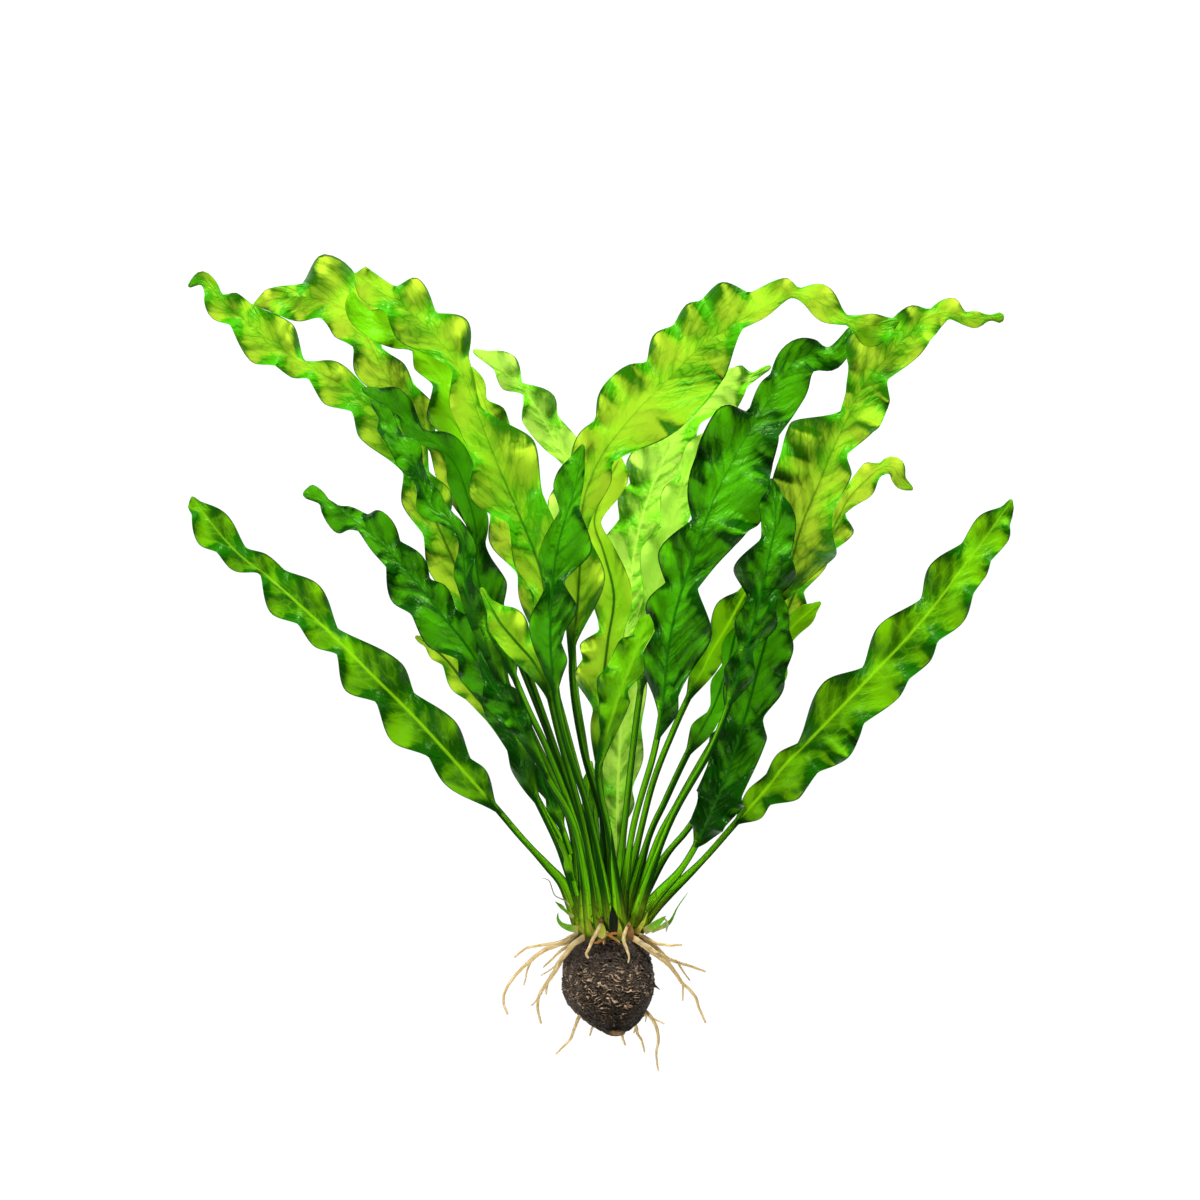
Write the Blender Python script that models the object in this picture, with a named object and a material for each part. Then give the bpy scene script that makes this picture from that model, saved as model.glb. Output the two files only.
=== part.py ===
"""Aponogeton bulb: a rooted tuber with its crown of long ruffled leaves, lying on its back.

Lengths in this file are millimetres until they reach a mesh, which is in metres.
x runs across the plant, y from the tuber's tip to the leaf tips, z up from the surface it lies on.
The origin is the middle of the small flat that the tuber rests on.
"""
import math

import bmesh
import bpy
from mathutils import Vector

MM = 0.001                # metres in a millimetre
GAP = 0.3                 # clearance between pieces that touch

# Tuber: an acorn with a blunt shoulder
TUBER_RADIUS = 15.4
TUBER_LENGTH = 34.2
TUBER_AXIS_Z = 15.05      # lower than the radius, so that it rests on a small flat
CROWN_Y = 16.0            # the crown's distance from the origin
SHOULDER_POWER = 0.4      # how square the shoulder is
TIP_POWER = 1.5           # how pointed the lower half is
TIP_LEAN = 2.6            # sideways lean of the pointed end
TUBER_LUMP = 0.45
LUMPS_ROUND = 5
LUMPS_DOWN = 4
TUBER_SEGMENTS = 24
TUBER_RINGS = 14

# Leaves: a stalk that widens into a blade with ruffled margins
STALK_HALF_WIDTH = 1.55
STALK_HALF_DEPTH = 1.15
RIB_HALF_DEPTH = 0.5
THINNING = 2.5            # widening of the blade over which the stalk's depth fades into the rib's
FLATNESS = 0.72           # greatest half-depth, as a share of the half-width
BASE_HALF_WIDTH = 2.0     # the stalk's foot, where it wraps the crown
TIP_HALF_WIDTH = 0.8
RUFFLE = 0.42             # height of the ruffles, as a share of the reach from rib to margin
FOLD = 0.12               # rise of the margins above the rib, as a share of the reach
STALK_STEP = 15.0         # distance between sections of the stalk
BLADE_STEP = 4.4          # distance between sections of the blade
STRAIGHT_FOOT = 4.0       # length over which a stalk leaves the crown squarely
KNEE_TURN = 0.6           # share of the stalk's turn, sideways and in height, made at its knee
SPLINE_STEPS = 6
SCALE_STEPS = 2
ROOT_STEPS = 2
BRANCH_TIP_RADIUS = 0.3

# Stalks leave the crown in rows, one above the other: height, spacing and leaves from left to right
CROWN_ROWS = (
    (3.9, 4.6, ("leaf_back_left", "leaf_back_pale", "leaf_back_curled")),
    (8.4, 4.2, ("leaf_low_left", "leaf_small_left", "leaf_lime_centre", "leaf_back_centre",
                "leaf_small_right", "leaf_low_right")),
    (13.0, 4.4, ("leaf_outer_left", "leaf_arch_left", "leaf_inner_left", "leaf_inner_right",
                 "leaf_hidden_right", "leaf_outer_right")),
    (17.6, 4.6, ("leaf_side_left", "leaf_dark_left", "leaf_tip_left", "leaf_side_right")),
    (22.2, 4.6, ("leaf_ribbon_left", "leaf_broad_left", "leaf_arch_centre", "leaf_dark_right",
                 "leaf_front_right")),
    (26.6, 4.2, ("leaf_front_left", "leaf_short_left", "leaf_front_centre", "leaf_short_centre")),
)

# Colours: the deep, mid, bright and pale greens of the blades
DEEP = (0.02, 0.13, 0.012)
MID = (0.06, 0.26, 0.015)
BRIGHT = (0.17, 0.42, 0.02)
PALE = (0.33, 0.55, 0.07)
ROOT_CREAM = (0.55, 0.40, 0.20)
TUBER_BROWN = (0.045, 0.03, 0.02)

# Each leaf from its stalk to its tip: points of the rib (x, y from the crown, z, roll in degrees),
# then its margins seen from above, from where the blade starts: peaks and necks of the lobes by turns
LEAVES = {
    "leaf_back_left": dict(
        colour=PALE,
        rib=((-4, 36, 4, 0), (-8, 63, 4.5, 0), (-11.5, 88, 4.5, 0), (-12.5, 132, 5, 0), (-12, 148, 5, 0),
             (-13.5, 158, 5, 0), (-17.5, 164.5, 5, 0), (-21.5, 172, 5, 0), (-25, 178, 5, 0),
             (-29, 183, 5, 0), (-34, 187.5, 4.5, 0), (-40, 192, 4, 0), (-45.5, 196, 3, 0)),
        left=((-12.8, 122), (-20.3, 144.5), (-14.7, 156), (-28.7, 171.5), (-28.6, 181), (-35.7, 183),
              (-38.8, 190.2)),
        right=((-10, 122), (-6.5, 142), (-8.5, 153), (-10.5, 166.5), (-17, 174), (-17.8, 180),
               (-29, 185), (-31.2, 193.5), (-41, 195.8))),
    "leaf_back_pale": dict(
        colour=PALE,
        rib=((2, 14, 4, 0), (3, 24, 4.5, 0), (3.4, 50, 5, 0), (5, 80, 5, 0), (6.5, 105, 5, 0),
             (9, 128, 5, 0), (12, 141, 5, 0), (15, 150, 5, 0), (20, 161, 5, 0), (26, 171, 5, 0),
             (32, 178.5, 5, 0), (38, 183.5, 4.5, 0), (46, 185.8, 4, 0), (55, 190.5, 3, 0)),
        left=((1.2, 20), (-3.2, 56), (-1.5, 68), (-4, 84), (-2, 96), (-3.5, 109), (0, 119), (-2.5, 129),
              (3.8, 139), (3.5, 147), (7.5, 151), (6.3, 158.5), (17, 171), (25, 183), (34, 186),
              (43.5, 190.5), (50, 187.5)),
        right=((3.6, 20), (11.2, 60), (11.4, 69), (13.2, 82), (12.6, 95), (15.5, 110), (15.8, 118),
               (20.5, 132), (20.5, 140), (27, 154), (31, 171), (42.5, 175.5), (46.5, 183.3))),
    "leaf_back_curled": dict(
        colour=BRIGHT,
        rib=((18.5, 24, 4.5, 0), (28, 36, 5, 0), (38, 54, 5, 0), (47.5, 76, 5.5, 0), (54, 92, 5.5, 0),
             (59, 104, 5.5, 0), (62.5, 113, 5.5, 0), (68, 123, 5.5, 0), (74, 132, 5.5, 0),
             (78, 140, 5.5, 0), (82, 147, 6, 0), (87, 152, 6, 0), (92, 156, 7, 0), (96, 156.3, 7, 0),
             (99, 152, 5, 0), (102.8, 148.8, 4, 0)),
        left=((45.5, 77), (48, 92), (55, 100), (54, 114), (61, 119), (64, 133), (71.5, 138), (74, 148),
              (81, 150.8), (86.5, 157.9), (91, 157.4), (97, 159.9), (100.4, 153)),
        right=((48.5, 75), (59, 89), (60, 98), (67.3, 107.5), (66, 114.5), (73, 122), (75.5, 128),
               (83, 134.5), (79.8, 140.5), (88.5, 146.5), (92, 153.3), (97.5, 149.5))),
    "leaf_low_left": dict(
        colour=MID,
        rib=((-14.5, 15, 7.8, 0), (-20, 21.7, 7, 0), (-29.5, 32, 6, 0), (-38, 42, 5.5, 0),
             (-54, 60, 5, 0), (-64, 71, 5, 0), (-78, 85, 4.8, 0), (-90, 97, 4.8, 0),
             (-100, 106.5, 4.8, 0), (-114, 119, 4.6, 0), (-122, 125, 4.4, 0), (-130, 133, 4, 0),
             (-140.5, 146.5, 2.5, 0)),
        left=((-38, 40), (-55.5, 50), (-60.5, 59), (-73, 64), (-78, 77.3), (-88.5, 81), (-91.3, 93.5),
              (-99.5, 96.3), (-104.3, 103.5), (-113.5, 107), (-117.5, 120.8), (-127.5, 122.3),
              (-131.5, 127.6), (-138.3, 130.8), (-140, 140), (-141.8, 143)),
        right=((-37, 44), (-41.5, 55), (-46.3, 58.3), (-51.5, 71), (-65.3, 80.3), (-69.5, 90.5),
               (-91, 102), (-97.5, 117), (-109, 121.8), (-114.8, 127), (-122, 129.3), (-127.5, 139.5),
               (-137.5, 145))),
    "leaf_small_left": dict(
        colour=BRIGHT,
        rib=((-13.5, 26, 11, 0), (-23, 43.5, 13, 0), (-30.5, 58, 15, 0), (-38, 71, 16, 0),
             (-46, 81, 16, 0), (-53, 90, 15, 0), (-59, 95.7, 14, 0), (-64.8, 99.5, 13, 0)),
        left=((-29, 55), (-41.5, 71.8), (-47.7, 78.2), (-52.9, 82), (-55.5, 89.7), (-59.5, 92),
              (-61.5, 96), (-63.2, 97)),
        right=((-27.5, 56), (-32, 71), (-38, 76), (-42, 87), (-48, 91), (-53, 96.5), (-59, 98.5))),
    "leaf_lime_centre": dict(
        colour=BRIGHT,
        rib=((-1.5, 30, 11, 0), (-3, 58, 14, 0), (-2, 80, 15.5, 0), (0, 98, 16, 0), (2, 113, 16, 0),
             (-1.5, 128, 16, 0), (-4.5, 138, 16, 0), (-1.5, 148, 16, 0), (4.4, 160, 15, 0)),
        left=((-4, 55), (-5.9, 70), (-5, 75), (-11.3, 87), (-8.5, 92), (-9.5, 96.5), (-2.8, 101.5),
              (-6, 113), (-5.5, 124), (-10, 137), (-7, 147), (-4, 155)),
        right=((-1.5, 55), (1, 70), (1.5, 80), (5, 92), (5.5, 101), (8.2, 112), (-2.3, 137.5),
               (6.2, 150), (5.8, 157))),
    "leaf_back_centre": dict(
        colour=PALE,
        rib=((6, 40, 14, 0), (10, 75, 20, 0), (14, 100, 24, 0), (18, 125, 26, 0), (22, 140, 26, 0),
             (26, 152, 26, 0), (35, 169, 24, 0)),
        left=((10.5, 82), (9, 102), (12, 113), (11, 128), (17.5, 137), (18, 148), (23, 153), (26, 163)),
        right=((12, 82), (20, 100), (19, 113), (27, 129), (26.8, 138), (33, 149), (33, 159))),
    "leaf_small_right": dict(
        colour=MID,
        rib=((18, 23.5, 10, 0), (27.5, 35.5, 12, 0), (37, 52, 14, 0), (46.5, 72, 17, 0), (53, 84, 18, 0),
             (57, 94, 18, 0), (61, 101.5, 18, 0), (66, 106.5, 18, 0), (71.5, 111, 17, 0)),
        left=((49, 78), (49, 90), (53.5, 95), (55, 104), (61, 106), (64.5, 109.5), (68, 110.5)),
        right=((50.5, 77), (60, 85.5), (59.5, 94), (68, 103.3), (70, 107.5))),
    "leaf_low_right": dict(
        colour=MID,
        rib=((16, 8.5, 8, 0), (31, 23, 6.5, 0), (43, 36.5, 5.5, 0), (52, 46.5, 5.2, 0), (60, 56.5, 5, 0),
             (70, 66.5, 5, 0), (80, 77, 4.8, 0), (90, 87.5, 4.8, 0), (100, 98, 4.8, 0),
             (110, 109.7, 4.8, 0), (118, 120.5, 4.6, 0), (126, 131, 4, 0), (136.3, 145.6, 2.5, 0)),
        left=((43, 38), (47.3, 48), (53.3, 53), (57, 59.8), (64, 63.5), (72.5, 84), (86, 89),
              (91.3, 103.3), (105.5, 112), (108.3, 123.3), (119.5, 131), (123.7, 138.5), (133, 143.3)),
        right=((44, 36), (52, 38.3), (54.5, 42.6), (65, 45.2), (70.8, 53.8), (77.5, 56.2), (81, 58.8),
               (84.3, 64), (86, 70), (98, 78.5), (101.3, 85), (108.5, 90.7), (111, 97.8), (120, 104.3),
               (123, 113.8), (127.3, 119.3), (128.8, 124.6), (135, 131.5), (135.2, 136.2), (136.8, 141.5))),
    "leaf_outer_left": dict(
        colour=BRIGHT,
        rib=((-12.5, 36, 19, 0), (-24.5, 65, 25, 0), (-34, 84, 29, 0), (-43, 105, 31, 0),
             (-50, 121, 32, 0), (-57, 137, 33, 0), (-63, 152, 33, 0), (-70, 165, 33, 0),
             (-79, 176, 33, 0), (-89.8, 184, 33, 0), (-101.5, 190.5, 32, 0), (-112, 197.5, 32, 0),
             (-124.3, 207.6, 31, 0), (-129, 211.6, 31, 0), (-132.4, 216, 30, 0), (-136, 218.8, 30, 0),
             (-140.4, 216.5, 29, 0)),
        left=((-35, 83), (-46, 96), (-50, 108), (-60, 121.5), (-61.7, 133.5), (-68.8, 143.5),
              (-68.3, 154), (-83, 165.8), (-85.5, 174.5), (-95, 177.3), (-99.7, 185.5), (-106.5, 186.4),
              (-111, 189.8), (-119.5, 191.5), (-126, 203.4), (-132.6, 206), (-134.6, 213.8)),
        right=((-33, 84), (-35.5, 98), (-42, 105), (-41, 116), (-48, 121.5), (-47.6, 128.5),
               (-53, 136.5), (-52.3, 147.5), (-59.7, 154.5), (-62, 168), (-71, 172.5), (-71, 180),
               (-81, 183), (-89, 190.5), (-101.5, 191.8), (-105.5, 204), (-119, 210.6), (-123.5, 214.1),
               (-129, 213.9), (-133.5, 221))),
    "leaf_arch_left": dict(
        colour=BRIGHT,
        rib=((-11, 38, 15, 0), (-19.5, 65, 18, 0), (-32, 97, 20, 0), (-43, 127, 20, 0),
             (-50, 147, 20, 0), (-58, 164, 20, 0), (-67, 177, 20, 0), (-75, 188, 20, 0),
             (-80, 198, 20, 0), (-85.5, 206.5, 20, 0), (-92.5, 211.5, 20, 0), (-101, 213.3, 19, 0),
             (-110, 213, 18, 0), (-119, 210.9, 17, 0)),
        left=((-47.5, 136), (-57, 151), (-60, 162), (-69, 166), (-74, 179), (-85, 188), (-85.3, 196.3),
              (-92, 200.3), (-96, 206), (-104, 205.2), (-109, 206.8)),
        right=((-45, 138), (-50, 156), (-58, 165), (-59, 178), (-65, 184), (-68, 190.5), (-76, 196.5),
               (-77, 211), (-84, 219.5), (-92.5, 227), (-104, 217.6), (-113.5, 216.2))),
    "leaf_inner_left": dict(
        colour=BRIGHT,
        rib=((-6, 36, 13, 0), (-14, 68, 13, 0), (-20, 90, 14, 0), (-24, 108, 15, 0), (-28, 124, 15, 0),
             (-32, 140, 15, 0), (-36, 158, 15, 0), (-40, 174, 15, 0), (-46, 190, 14, 0)),
        left=((-22, 94), (-29.8, 112), (-30.4, 120.5), (-40, 131.5), (-39.5, 140), (-46, 150),
              (-44, 160), (-48, 170), (-46, 180)),
        right=((-20, 94), (-17.5, 108), (-21.5, 118), (-18, 132), (-25, 141), (-24.5, 156), (-31, 163),
               (-34.3, 175), (-40.8, 179), (-41.4, 185))),
    "leaf_inner_right": dict(
        colour=MID,
        rib=((9, 26, 17, 0), (15, 50, 19, 0), (22, 68, 20, 0), (27, 79, 20.5, 0), (31, 87, 21, 0),
             (35, 95, 21, 0), (40, 103, 21, 0), (49, 120, 20, 0)),
        left=((26, 80), (27.6, 87.5), (33, 95.5), (36, 109.8), (43.3, 114.5)),
        right=((27.5, 78.5), (35, 86), (38.5, 91), (45, 95), (46.5, 102.5), (52, 109))),
    "leaf_hidden_right": dict(
        colour=DEEP,
        rib=((13, 30, 21, 0), (19, 44, 26, 0), (24, 55, 30, 0), (28, 63, 32, 0), (32, 70, 34, 0),
             (36, 78, 35, 0), (40, 90, 36, 0), (43, 103, 35, 0)),
        left=((26.5, 61.5), (28.2, 70.5), (34, 75), (34.5, 85), (38, 90), (38, 97)),
        right=((27.5, 60), (34.5, 66.5), (37, 71), (43, 80), (44, 88), (47, 95))),
    "leaf_outer_right": dict(
        colour=BRIGHT,
        rib=((15.5, 28, 22, 0), (23, 43, 26, 0), (30.5, 56.5, 28, 0), (38.5, 70, 29, 0),
             (46.5, 84, 30, 0), (53, 98, 33, 0), (58, 113, 37, 0), (61.5, 126, 42, 0), (65, 138, 47, 0),
             (70, 150, 51, 0), (74, 160, 52, 0), (78.5, 170, 53, 0), (82.5, 179, 54, 0),
             (86.5, 185.5, 54, 0), (92, 191.5, 54, 0), (97.5, 197.5, 54, 0), (103, 203.3, 53, 0),
             (108.5, 206.5, 52, 0), (114, 207, 51, 0), (122, 205, 50, 0), (127, 205.5, 49, 0),
             (131.7, 205.5, 48, 0)),
        tip=2.2,
        left=((54.5, 104), (52, 117), (57.5, 128), (55, 153), (57.5, 161), (60.5, 170.7), (77, 174),
              (79, 181), (79.8, 189), (80.5, 200), (93, 204), (98.5, 208.4), (107, 208.3), (114, 212),
              (119, 207.4), (122.3, 207.7), (127, 206.3)),
        right=((59.5, 113), (75.5, 121.5), (76.5, 129), (77, 135), (75.3, 142.5), (80.8, 152.5),
               (79.3, 160), (88, 167.2), (91, 171), (93.5, 177), (92.5, 184.5), (104, 193.5),
               (106.7, 197.6), (110.8, 202), (113, 205), (121.4, 202), (127, 204.8))),
    "leaf_side_left": dict(
        colour=DEEP,
        rib=((-16, 28, 29, 0), (-26, 50, 40, 0), (-32, 68, 47, 0), (-43, 90.5, 50, 0),
             (-55, 106.5, 50, 0), (-67, 121.3, 48, 0), (-79, 133.7, 45, 0), (-90, 142, 40, 0),
             (-96, 145.5, 38, 0), (-101.7, 147.5, 37, 0)),
        tip=2.0,
        left=((-24, 44), (-32.3, 55), (-34, 63), (-40.5, 72.7), (-42.5, 78), (-49.3, 85.3), (-50, 92),
              (-60.5, 96.8), (-65, 106.5), (-72.3, 111.5), (-73.2, 122), (-77.6, 126.7), (-83, 134.4),
              (-92.5, 135.3), (-96, 143.6), (-101.5, 145.6)),
        right=((-22.5, 45), (-24.5, 58), (-29, 66), (-33, 78), (-42, 92.5), (-44.3, 104.5),
               (-50.6, 108.7), (-53.2, 115.6), (-59.3, 118.8), (-61.3, 126), (-69.3, 131.5),
               (-72.5, 139.2), (-81, 140.8), (-84.5, 142.2), (-92, 143.6), (-98, 150))),
    "leaf_dark_left": dict(
        colour=DEEP,
        rib=((-10, 34, 29, 0), (-19.5, 60, 37, 0), (-27, 76, 40, 0), (-32, 88, 41, 0), (-37, 100, 42, 0),
             (-42, 113, 42, 0), (-44, 125, 43, 0), (-44.2, 136, 44, 0), (-47, 147, 44, 0),
             (-50.5, 156, 44, 0), (-56, 162.5, 44, 0), (-63, 168, 43, 0), (-71, 175, 43, 0),
             (-82, 182.3, 41, 0)),
        left=((-32, 85), (-39, 97), (-43, 105), (-50, 117.5), (-46.5, 133), (-53.2, 150), (-55, 160),
              (-67.5, 166.5), (-70, 173), (-76, 177)),
        right=((-30.5, 87), (-29, 99), (-35, 107), (-33.7, 117.5), (-40.8, 130.5), (-40, 140),
               (-43.5, 148), (-49.5, 165), (-61.5, 168.5), (-68, 181), (-76, 182.5))),
    "leaf_tip_left": dict(
        colour=MID,
        rib=((-8, 34, 25, 0), (-17, 60, 29, 0), (-27, 88, 31, 0), (-37, 113, 32, 0), (-44, 135, 32, 0),
             (-47.5, 155, 32, 0), (-50, 172, 32, 0), (-54, 182, 32, 0), (-59, 190, 32, 0),
             (-68, 198.5, 32, 0), (-76, 203.5, 31, 0), (-83, 208.5, 30, 0), (-86, 215.3, 29, 0)),
        left=((-47, 144), (-51, 154), (-52, 163), (-60.5, 172), (-58.5, 183.5), (-64.4, 188.5),
              (-65.5, 195), (-72, 196), (-78.5, 198.5), (-87.5, 207)),
        right=((-43.5, 146), (-41, 156), (-43.5, 165), (-43, 178), (-50.5, 185), (-55, 196), (-66, 202),
               (-72, 208), (-80, 209), (-83.5, 212.5))),
    "leaf_side_right": dict(
        colour=DEEP,
        rib=((16, 12, 21, 0), (24, 21, 28, 0), (30, 31, 34, 0), (35, 42, 39, 0), (39, 52, 43, 0),
             (42.5, 62, 45, 0), (46, 74, 47, 0), (49.5, 87, 47, 0), (53, 100, 47, 0), (57, 114, 46, 0)),
        left=((28.8, 30.5), (27.5, 38), (29.8, 44.5), (29.6, 48.7), (33.2, 57), (34, 67), (39, 72),
              (38.5, 84), (44.5, 91), (48.3, 99), (51, 106), (53, 111)),
        right=((30.5, 29), (37.8, 33.5), (39.5, 37.2), (45.2, 42), (45, 47.5), (52.8, 65), (51.5, 72.5),
               (58.5, 82), (58.8, 87), (61.5, 94), (60.3, 101), (60, 108))),
    "leaf_ribbon_left": dict(
        colour=DEEP,
        rib=((-10.5, 32, 37, 0), (-23, 58, 50, 0), (-34, 82, 57, 0), (-42, 102, 59, 20),
             (-46.5, 114, 60, 30), (-47.5, 124, 60, 30), (-48.3, 132, 60, 20), (-53, 138, 60, 0),
             (-59.5, 143.5, 59, -20), (-62, 152, 58, -30), (-66, 160, 58, -30), (-72, 168, 57, -20),
             (-78.5, 178, 56, 0)),
        left=((-35, 82), (-41, 92), (-45, 102), (-50.2, 116), (-50, 126), (-50.5, 133.5), (-54.5, 136.3),
              (-62.5, 141), (-64, 149), (-70, 158), (-75.8, 165), (-76, 172.5)),
        right=((-33, 83), (-35, 93), (-40, 102), (-41.5, 114), (-44.5, 122), (-44.3, 132), (-51, 140.3),
               (-55.5, 145.5), (-59.5, 152), (-62.5, 162), (-68, 167), (-72, 174))),
    "leaf_broad_left": dict(
        colour=BRIGHT,
        rib=((-6, 38, 38, 0), (-14.3, 66, 50, 0), (-18.4, 91, 54, 0), (-20.6, 112, 56, 0),
             (-23.5, 125, 57, 0), (-29.5, 140, 58, 0), (-34.5, 151.5, 58, 0), (-40, 165, 59, 0),
             (-44, 176, 60, 0), (-48, 186, 60, 0), (-53, 194, 60, 0), (-60, 202, 60, 0),
             (-69, 209.5, 59, 0), (-76.5, 214.5, 58, 0), (-84, 220, 57, 0)),
        left=((-19.5, 90), (-25.5, 105), (-24.5, 113), (-31, 123), (-33, 137), (-46, 145.5),
              (-44.5, 158), (-52.3, 174.5), (-51.8, 188), (-69.8, 198), (-73.5, 207), (-82, 211.5)),
        right=((-17.5, 90), (-14, 105), (-16.5, 115), (-15, 131), (-21.7, 147), (-24.3, 164),
               (-42, 175.5), (-43.6, 181), (-46.2, 192.5), (-46.6, 204.3), (-57, 207), (-62, 217.5),
               (-71, 215.8), (-80, 222))),
    "leaf_arch_centre": dict(
        colour=BRIGHT,
        rib=((-1, 34, 38, 0), (-8.3, 62, 50, 0), (-12, 88, 58, 0), (-10, 112, 63, 0), (-9, 130, 64, 0),
             (-8.3, 143, 64, 0), (-5, 153.5, 64, 0), (0, 162.5, 64, 0), (10, 174.7, 64, 0),
             (20, 184.8, 64, 0), (30, 194.7, 64, 0), (40, 202, 64, 0), (50, 207.3, 64, 0),
             (60, 212.5, 63, 0), (66, 212, 63, 0), (72, 209, 62, 0), (79, 204.3, 62, 0),
             (87, 202.5, 61, 0), (96.5, 204, 60, 0)),
        left=((-13, 92), (-14.5, 116), (-13, 127), (-14, 140), (-12.5, 152), (-9.8, 166.5),
              (-4.3, 171.3), (-3, 180), (0.3, 184.8), (6, 189.1), (12.6, 190.4), (15.3, 199.6),
              (21.5, 202.5), (26, 209.4), (30.5, 210.7), (36.5, 216.3), (47, 213.5), (57.5, 218),
              (63.3, 214.8), (71.5, 216), (79, 206), (88.5, 205.3)),
        right=((-9.5, 97), (-1, 119), (-6.8, 134), (0.8, 150), (1.5, 157), (21, 166.5), (26, 170.3),
               (38, 184.5), (44.8, 201.5), (50.5, 204.2), (60.5, 211.6), (70, 204.3), (80, 202.7),
               (86, 199.9))),
    "leaf_dark_right": dict(
        colour=DEEP,
        rib=((8, 34, 40, 0), (15, 60, 52, 0), (18, 76, 55, 0), (20, 95, 57, 0), (22.5, 108, 57, 0),
             (26.5, 121, 56, 0), (30.5, 132, 56, 0), (36, 147, 54, 0), (44, 162.5, 51, 0),
             (51.5, 175, 47, 0), (57, 184.5, 45, 0), (62.5, 191.5, 44, 0), (69, 193.8, 42, 0),
             (75, 194, 41, 0), (81, 202.5, 39, 0)),
        left=((15.5, 74), (11.2, 92.5), (15.5, 101.5), (12.4, 110), (19, 117.5), (16.8, 128),
              (27.8, 138.5), (26.7, 152), (29.2, 160), (34, 171.8), (47, 175.3), (50, 182.8), (54, 187),
              (60, 197.2), (73, 196.3)),
        right=((17.7, 66), (23.3, 74.5), (23.4, 80), (34.4, 99.5), (29.6, 115), (42.5, 130.3),
               (46.5, 134), (51.6, 139.5), (53, 150), (55.3, 158), (56, 165), (65.3, 178.5), (67, 187),
               (78.5, 190.2))),
    "leaf_front_right": dict(
        colour=DEEP,
        rib=((20, 36, 38, 0), (34, 62, 54, 0), (41, 80, 60, 0), (45, 93, 62, 0), (48.5, 105, 63, 0),
             (51, 116, 64, 0), (53.5, 127, 64, 0), (55.5, 139, 63, 0), (54, 152, 61, 0)),
        left=((39.5, 78), (38.5, 89), (43, 96), (42, 105), (46, 112.5), (41.5, 122.5), (50.5, 132),
              (50, 142.5), (53, 148)),
        right=((41.5, 77), (48.5, 86), (48, 95), (56, 103), (55, 111), (62, 119), (60.5, 126.5),
               (62, 134), (58.5, 145.5))),
    "leaf_front_left": dict(
        colour=DEEP,
        rib=((-10.5, 34, 46, 0), (-19.5, 52, 57, 0), (-24, 61, 62, 0), (-28.5, 69.5, 65, 0),
             (-33.5, 77, 67, 0), (-38.5, 84, 67, 0), (-43, 92.3, 66, 0)),
        left=((-21.5, 54), (-31, 67), (-34.5, 71), (-40.5, 76), (-41, 84)),
        right=((-20.3, 55), (-25, 69), (-26.7, 74.5), (-30, 82), (-36, 84.5), (-41, 89.5))),
    "leaf_short_left": dict(
        colour=BRIGHT,
        rib=((-8, 36, 50, 0), (-16, 66, 66, 0), (-20, 82, 70, 0), (-24.5, 91, 71, 0), (-30.5, 98, 72, 0),
             (-36.5, 105.5, 72, 0), (-42, 115.8, 70, 0)),
        left=((-20, 79), (-29, 89.5), (-34, 94.5), (-39, 101), (-39.7, 106.5)),
        right=((-18.5, 80), (-21, 92.5), (-25, 98.5), (-28, 107), (-34, 109.8), (-38.5, 111.8))),
    "leaf_front_centre": dict(
        colour=MID,
        rib=((-5, 36, 50, 0), (-14, 65, 68, 0), (-17.8, 84, 75, 0), (-19, 98, 78, 0),
             (-18.7, 112, 79, 0), (-17.5, 124, 80, 0), (-14.8, 136, 80, 0), (-11, 148, 79, 0),
             (-8.4, 163, 77, 0)),
        left=((-17, 82), (-26, 103.5), (-20.8, 116), (-22.8, 127), (-16, 141), (-18, 150), (-13, 158)),
        right=((-14.8, 82), (-13.4, 92), (-15.5, 98.5), (-10.2, 109), (-14.4, 117.5), (-5.5, 127.7),
               (-9.6, 142), (-7.7, 155))),
    "leaf_short_centre": dict(
        colour=MID,
        rib=((1, 30, 46, 0), (-3.2, 52, 60, 0), (-2, 62, 63, 0), (1, 72, 65, 0), (5, 84, 67, 0),
             (9, 94, 67, 0), (13.5, 107, 66, 0)),
        left=((-5, 54), (-2.5, 68), (-3, 78), (-3.5, 86), (-0.5, 89.5), (3.5, 98), (8, 100),
              (10.3, 105.5)),
        right=((-1, 56), (7.2, 77.5), (6.5, 82), (12, 88), (11.5, 95), (15.2, 102))),
}

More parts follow.
